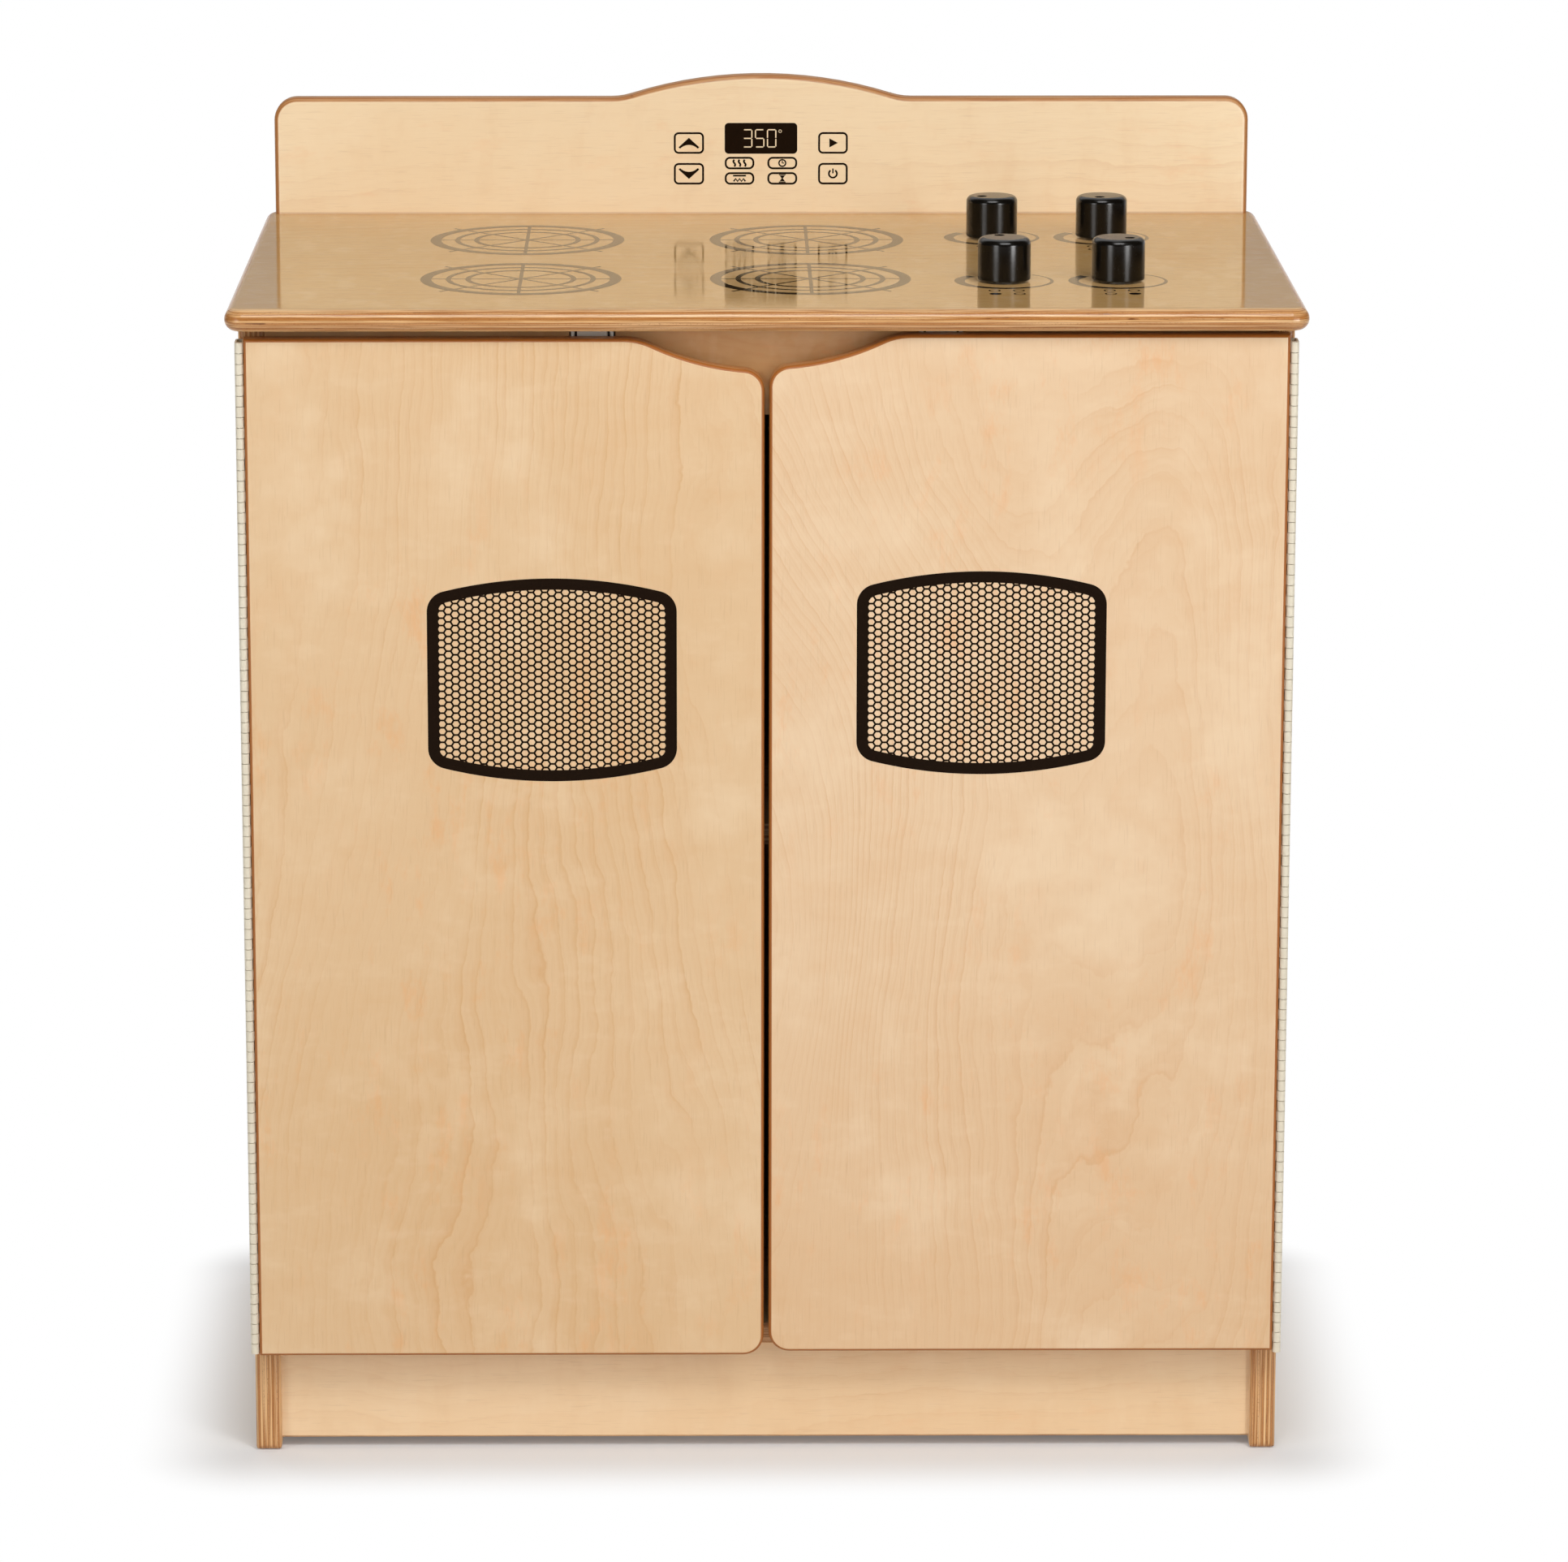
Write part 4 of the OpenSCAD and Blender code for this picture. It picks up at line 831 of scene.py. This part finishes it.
def wire_mesh(x, z, limit):
    """Cells of a honeycomb of thin lines: a small triangle at each junction, a bar along each side."""
    arm = MESH_COLUMN * 2 / 3
    reach_x, reach_z = int(WINDOW_W / MESH_COLUMN / 2) + 1, int(WINDOW_H / MESH_ROW / 2) + 1
    arms = {
        "right": [(arm, 0), (-arm / 2, MESH_ROW / 2), (-arm / 2, -MESH_ROW / 2)],
        "left": [(-arm, 0), (arm / 2, -MESH_ROW / 2), (arm / 2, MESH_ROW / 2)],
    }
    junctions = {}
    for column in range(-reach_x, reach_x + 1):
        for row in range(-reach_z, reach_z + 1):
            cx = x + column * MESH_COLUMN
            cz = z + (row + (0.5 if column % 2 else 0)) * MESH_ROW
            for hand, way in (("right", 1), ("left", -1)):
                point = (cx + way * arm, cz)
                if inside_outline(point, limit):
                    junctions[(round(point[0], 6), round(point[1], 6))] = (point, arms[hand])
    triangles = {}
    for key, (point, ways) in junctions.items():
        lines = [Vector(way).normalized() for way in ways]
        tips = []
        for one, two in ((0, 1), (1, 2), (2, 0)):
            wide = abs(lines[one].cross(lines[two]))
            offset = (lines[one] + lines[two]) * (MESH_WIRE / 2 / wide)
            tips.append((point[0] + offset.x, point[1] + offset.y))
        triangles[key] = tips
    cells = []
    for key, (point, ways) in junctions.items():
        cells.append(triangles[key])
        if ways is arms["left"]:
            continue
        for i, way in enumerate(ways):
            other = (round(point[0] + way[0], 6), round(point[1] + way[1], 6))
            if other in triangles:
                here, there = triangles[key], triangles[other]
                cells.append([here[i - 1], there[i], there[i - 1], here[i]])
    return cells


def print_windows(material):
    for side, way in (("left", -1), ("right", 1)):
        x, z = way * WINDOW_X, WINDOW_MID[side]
        outer, inner = window_outline(x, z, 0), window_outline(x, z, WINDOW_FRAME)
        layers = [
            (band(outer, inner), INK_OVER),
            (wire_mesh(x, z, window_outline(x, z, MESH_TUCK)), INK_LIFT),
        ]
        print_piece(side + "_window_print", side + "_door", material, on_door, layers)


def seven_segments(digit, x, z):
    """Bars of one digit, with its middle at x, z."""
    half_w, half_h, tip = DIGIT_W / 2, DIGIT_H / 2, DIGIT_LINE / 2
    play = tip * 1.15
    ends = {
        "a": ((-half_w, half_h), (half_w, half_h)), "g": ((-half_w, 0), (half_w, 0)),
        "d": ((-half_w, -half_h), (half_w, -half_h)), "f": ((-half_w, 0), (-half_w, half_h)),
        "b": ((half_w, 0), (half_w, half_h)), "e": ((-half_w, -half_h), (-half_w, 0)),
        "c": ((half_w, -half_h), (half_w, 0)),
    }
    bars = []
    for name in DIGIT_SEGMENTS[digit]:
        start, end = Vector(ends[name][0]), Vector(ends[name][1])
        run = (end - start).normalized()
        side = Vector((run.y, -run.x)) * tip
        start, end = start + run * play, end - run * play
        slope = run * tip * 0.5
        loop = [start - slope, start + side, end + side, end + slope, end - side, start - side]
        bars.append([(x + p.x, z + p.y) for p in loop])
    return bars


def outlined(across, up, r):
    """A button's printed outline, between two places across and two heights."""
    (x0, x1), (z0, z1) = across, up
    line = PANEL_LINE
    return band(
        round_rect(x0, x1, z0, z1, r),
        round_rect(x0 + line, x1 - line, z0 + line, z1 - line, r - line),
    )


def arrow(x, z, way):
    """A solid arrow head with a hollow foot, up for way 1 and down for way -1."""
    hollow = circle(0, -8.6 * MM, 7.4 * MM, 44, 136, 12)
    loop = [(-5.9 * MM, -3.15 * MM), (-6.35 * MM, -2.6 * MM)]
    loop += [(0, 3.2 * MM), (6.35 * MM, -2.6 * MM), (5.9 * MM, -3.15 * MM)]
    loop = [(x + u, z + v * way) for u, v in loop[::-1] + hollow[::-1]]
    return loop if way > 0 else loop[::-1]


def heat_waves(x, z):
    """Three rising wavy lines."""
    lines = []
    for shift in (-3.2 * MM, 0.0, 3.2 * MM):
        rise = [i / 16 for i in range(17)]
        points = [
            (x + shift + 0.55 * MM * math.sin(t * 2 * math.pi), z + (t - 0.5) * 4.2 * MM) for t in rise
        ]
        lines.append(stroke(points, 1.15 * MM))
    return lines


def clock_sign(x, z):
    rim = band(circle(x, z, 2.5 * MM, steps=32), circle(x, z, 1.6 * MM, steps=32))
    hands = stroke([(x, z + 1.4 * MM), (x, z), (x + 1.1 * MM, z)], 0.7 * MM)
    return [rim, hands]


def grill_sign(x, z):
    """A top bar with a heating line under it."""
    bar = stroke([(x - 4 * MM, z + 1.7 * MM), (x + 4 * MM, z + 1.7 * MM)], 1.0 * MM)
    zigzag = [(x + (i - 3) * 1.2 * MM, z + (-0.2 if i % 2 else -1.8) * MM) for i in range(7)]
    return [bar, stroke(zigzag, 1.0 * MM)]


def hourglass_sign(x, z):
    half, waist = 1.7 * MM, 0.35 * MM
    top = stroke([(x - 2.1 * MM, z + 2.3 * MM), (x + 2.1 * MM, z + 2.3 * MM)], 0.6 * MM)
    foot = stroke([(x - 2.1 * MM, z - 2.3 * MM), (x + 2.1 * MM, z - 2.3 * MM)], 0.6 * MM)
    glass = [
        (x - half, z - 1.8 * MM), (x + half, z - 1.8 * MM), (x + waist, z), (x + half, z + 1.8 * MM),
        (x - half, z + 1.8 * MM), (x - waist, z),
    ]
    return [top, foot, [glass]]


def start_sign(x, z):
    return [[[(x - 2.2 * MM, z - 2.8 * MM), (x + 3.0 * MM, z), (x - 2.2 * MM, z + 2.8 * MM)]]]


def stop_sign(x, z):
    """An open ring with a bar through its gap."""
    outer = circle(x, z, 3.0 * MM, 125, 415, 32)
    inner = circle(x, z, 1.9 * MM, 125, 415, 32)
    bar = stroke([(x, z + 0.2 * MM), (x, z + 3.2 * MM)], 0.9 * MM)
    return [strip(outer, inner), bar]


def middle(span):
    return (span[0] + span[1]) / 2


def print_control_panel(material, bone):
    x0, x1, z0, z1 = DISPLAY
    shapes = [[round_rect(x0, x1, z0, z1, DISPLAY_R)]]
    for row, way in zip(BUTTON_ROWS, (1, -1)):
        shapes.append(outlined(ARROW_BUTTON_X, row, BUTTON_R))
        shapes.append([arrow(middle(ARROW_BUTTON_X), middle(row), way)])
        shapes.append(outlined(SIGN_BUTTON_X, row, BUTTON_R))
    x = middle(SIGN_BUTTON_X)
    shapes += start_sign(x, middle(BUTTON_ROWS[0])) + stop_sign(x, middle(BUTTON_ROWS[1]))
    signs = ((heat_waves, clock_sign), (grill_sign, hourglass_sign))
    for row, pair in zip(PILL_ROWS, signs):
        for span, sign in zip(PILL_X, pair):
            shapes.append(outlined(span, row, PILL_R))
            shapes += sign(middle(span), middle(row))
    print_piece("control_panel_print", "cabinet", material, on_backsplash,
                [(cells, INK_LIFT) for cells in shapes])
    z = (z0 + z1) / 2
    digits = []
    for i, digit in enumerate("350"):
        digits += [[bar] for bar in seven_segments(digit, DIGIT_FIRST + i * DIGIT_PITCH, z)]
    x = DIGIT_FIRST + 2 * DIGIT_PITCH + 5.2 * MM
    top = z + DIGIT_H / 2 - 0.9 * MM
    digits.append(band(circle(x, top, 1.0 * MM, steps=24), circle(x, top, 0.7 * MM, steps=24)))
    print_piece("display_digits_print", "cabinet", bone, on_backsplash,
                [(cells, INK_OVER) for cells in digits])


def print_everything():
    along_worktop = (11, 640, 640)
    under_gloss = ink("black ink under gloss", srgb(20, 15, 10), srgb(32, 24, 16), 0.05, GLOSS_RIPPLE,
                      0.5, along_worktop)
    brown = ink("brown ink under gloss", srgb(52, 40, 24), srgb(70, 54, 34), 0.03, GLOSS_RIPPLE,
                0.5, along_worktop)
    black = ink("black ink", srgb(22, 12, 4), srgb(42, 25, 12), 0.42, 0.01 * MM, 0.06)
    bone = ink("bone ink", srgb(246, 226, 190), srgb(236, 212, 172), 0.40, 0.01 * MM, 0.3)
    print_burners(brown)
    print_dials(under_gloss)
    print_windows(black)
    print_control_panel(black, bone)


# Studio


def make_camera():
    data = bpy.data.cameras.new("camera")
    data.lens = CAMERA_LENS
    data.sensor_width = CAMERA_SENSOR
    data.shift_x, data.shift_y = CAMERA_SHIFT
    data.clip_start, data.clip_end = 0.05, 200.0
    camera = bpy.data.objects.new("camera", data)
    camera.location = CAMERA_PLACE
    camera.rotation_euler = (math.radians(90 - CAMERA_PITCH), 0, math.radians(-CAMERA_TURN))
    bpy.context.scene.collection.objects.link(camera)
    bpy.context.scene.camera = camera


def seen_directly(w):
    """1 for the camera's rays and for what gloss and glass show, 0 for the light on the object."""
    ray = w.node("ShaderNodeLightPath").outputs
    seen = w.calc("MAXIMUM", ray["Is Camera Ray"], ray["Is Glossy Ray"])
    return w.calc("MAXIMUM", seen, ray["Is Transmission Ray"])


def make_room():
    """Even room light, and white where the background is looked at."""
    world = bpy.data.worlds.new("studio room")
    bpy.context.scene.world = world
    world.use_nodes = True
    world.node_tree.nodes.clear()
    w = Wires(world.node_tree)
    level = w.calc("MULTIPLY_ADD", seen_directly(w), 1.0 - ROOM_LEVEL, ROOM_LEVEL)
    light = w.node("ShaderNodeBackground", {"Color": (1.0, 1.0, 1.0), "Strength": level})
    w.node("ShaderNodeOutputWorld", {"Surface": light.outputs[0]})


def make_floor():
    """A pale floor that keeps the shadow beside the cabinet's foot and fades to the white background."""
    bpy.ops.mesh.primitive_plane_add(size=FLOOR_SIZE, location=(0, 0, -FLOOR_DROP))
    floor = bpy.context.object
    floor.name = "studio_floor"
    material, w = new_material("studio floor")
    low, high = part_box("left_side")[0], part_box("right_side")[1]
    half = (high - low) / 2
    beside = w.steer("SUBTRACT", w.steer("ABSOLUTE", w.rest_place()), (half.x, half.y, 0.0))
    beside = w.steer("MAXIMUM", beside, (0.0, 0.0, 0.0))
    reach = w.node("ShaderNodeVectorMath", {"Vector": beside}, operation="LENGTH")
    fade = w.ease(reach.outputs["Value"], *FLOOR_FADE, FLOOR_NEAR_LIFT, 1.0)
    paper = w.node("ShaderNodeBsdfDiffuse", {"Color": (FLOOR_COLOUR,) * 3})
    white = w.node("ShaderNodeEmission", {"Color": (1.0, 1.0, 1.0), "Strength": 1.0})
    blend = w.node("ShaderNodeMixShader", {"Fac": w.calc("MULTIPLY", seen_directly(w), fade)})
    w.feed(blend.inputs[1], paper.outputs[0])
    w.feed(blend.inputs[2], white.outputs[0])
    w.node("ShaderNodeOutputMaterial", {"Surface": blend.outputs[0]})
    floor.data.materials.append(material)


def make_soft_box(name, place, aim, size, power, in_gloss):
    """A soft box; glossy surfaces show it only where that is asked for."""
    data = bpy.data.lights.new(name, "AREA")
    data.shape = "RECTANGLE"
    data.size, data.size_y = size
    data.energy = power
    lamp = bpy.data.objects.new(name, data)
    lamp.location = place
    lamp.rotation_euler = (Vector(aim) - Vector(place)).to_track_quat("-Z", "Y").to_euler()
    lamp.visible_glossy = in_gloss
    bpy.context.scene.collection.objects.link(lamp)


def show_in_gloss_only(piece, material):
    """Gives a studio piece its finish, and hides it from all but what glossy surfaces reflect."""
    piece.data.materials.append(material)
    piece.visible_camera = False
    piece.visible_diffuse = False
    piece.visible_shadow = False


def make_gloss_card(name, place, turn, size, colour, level):
    """An upright glowing card: its middle, its turn about Z in degrees, and its width and height."""
    bpy.ops.mesh.primitive_plane_add(size=1.0, location=place)
    card = bpy.context.object
    card.name = "studio_" + name
    card.scale = (*size, 1.0)
    card.rotation_euler = (math.radians(90), 0, math.radians(turn))
    material, w = new_material("studio " + name.replace("_", " "))
    glow = w.node("ShaderNodeEmission", {"Color": colour, "Strength": level})
    w.node("ShaderNodeOutputMaterial", {"Surface": glow.outputs[0]})
    show_in_gloss_only(card, material)


def make_gloss_cards():
    """A mid-grey card behind, which the worktop mirrors, and two bright strips in front, which draw
    the upright highlights on the knobs. They are low, so that the worktop mirrors them only when it
    is seen from low behind."""
    make_gloss_card("grey_card", GREY_CARD_PLACE, 0, GREY_CARD_SIZE, srgb(174, 165, 158), 1.0)
    for name, turn, width, level in STRIPS:
        way = math.radians(turn)
        place = (STRIP_MID[0] + STRIP_AWAY * math.sin(way), STRIP_MID[1] - STRIP_AWAY * math.cos(way),
                 STRIP_HEIGHT / 2)
        make_gloss_card(name, place, turn, (width, STRIP_HEIGHT), (1.0, 1.0, 1.0), level)


def make_dark_curtain():
    """A dark dome round the front that only gloss shows; it pales towards its ends."""
    bm = bmesh.new()
    rows = []
    for i in range(CURTAIN_STEPS + 1):
        angle = math.radians(CURTAIN_TURN * (i / CURTAIN_STEPS - 0.5) - 90)
        column = []
        for j in range(CURTAIN_ROWS + 1):
            rise = math.radians(CURTAIN_RISE * j / CURTAIN_ROWS)
            reach = CURTAIN_R * math.cos(rise)
            place = (reach * math.cos(angle), reach * math.sin(angle), CURTAIN_R * math.sin(rise))
            column.append(bm.verts.new(place))
        rows.append(column)
    for here, there in zip(rows, rows[1:]):
        for j in range(CURTAIN_ROWS):
            bm.faces.new((here[j], there[j], there[j + 1], here[j + 1]))
    mesh = bpy.data.meshes.new("studio_dark_curtain")
    bm.to_mesh(mesh)
    bm.free()
    curtain = bpy.data.objects.new("studio_dark_curtain", mesh)
    bpy.context.scene.collection.objects.link(curtain)
    material, w = new_material("studio dark curtain")
    x, y, _ = w.split(w.rest_place())
    aside = w.calc("ABSOLUTE", w.calc("ARCTAN2", x, w.calc("MULTIPLY", y, -1.0)))
    fade = w.ease(aside, *(math.radians(angle) for angle in CURTAIN_FADE))
    colour = w.mix(fade, srgb(50, 46, 42), (1.0, 1.0, 1.0))
    glow = w.node("ShaderNodeEmission", {"Color": colour, "Strength": 1.0})
    w.node("ShaderNodeOutputMaterial", {"Surface": glow.outputs[0]})
    show_in_gloss_only(curtain, material)


def light_studio():
    make_room()
    make_floor()
    for name, place, size, power, in_gloss in SOFT_BOXES:
        make_soft_box(name, place, SOFT_BOX_AIM, size, power, in_gloss)
    for name, side in (("back_left_soft_box", -1), ("back_right_soft_box", 1)):
        x, y, z = BACK_BOX_PLACE
        make_soft_box(name, (side * x, y, z), BACK_BOX_AIM, BACK_BOX_SIZE, BACK_BOX_POWER, False)
    make_gloss_cards()
    make_dark_curtain()
    bpy.context.scene.view_settings.view_transform = "Standard"


make_camera()
finish_boards()
finish_fittings()
print_everything()
light_studio()
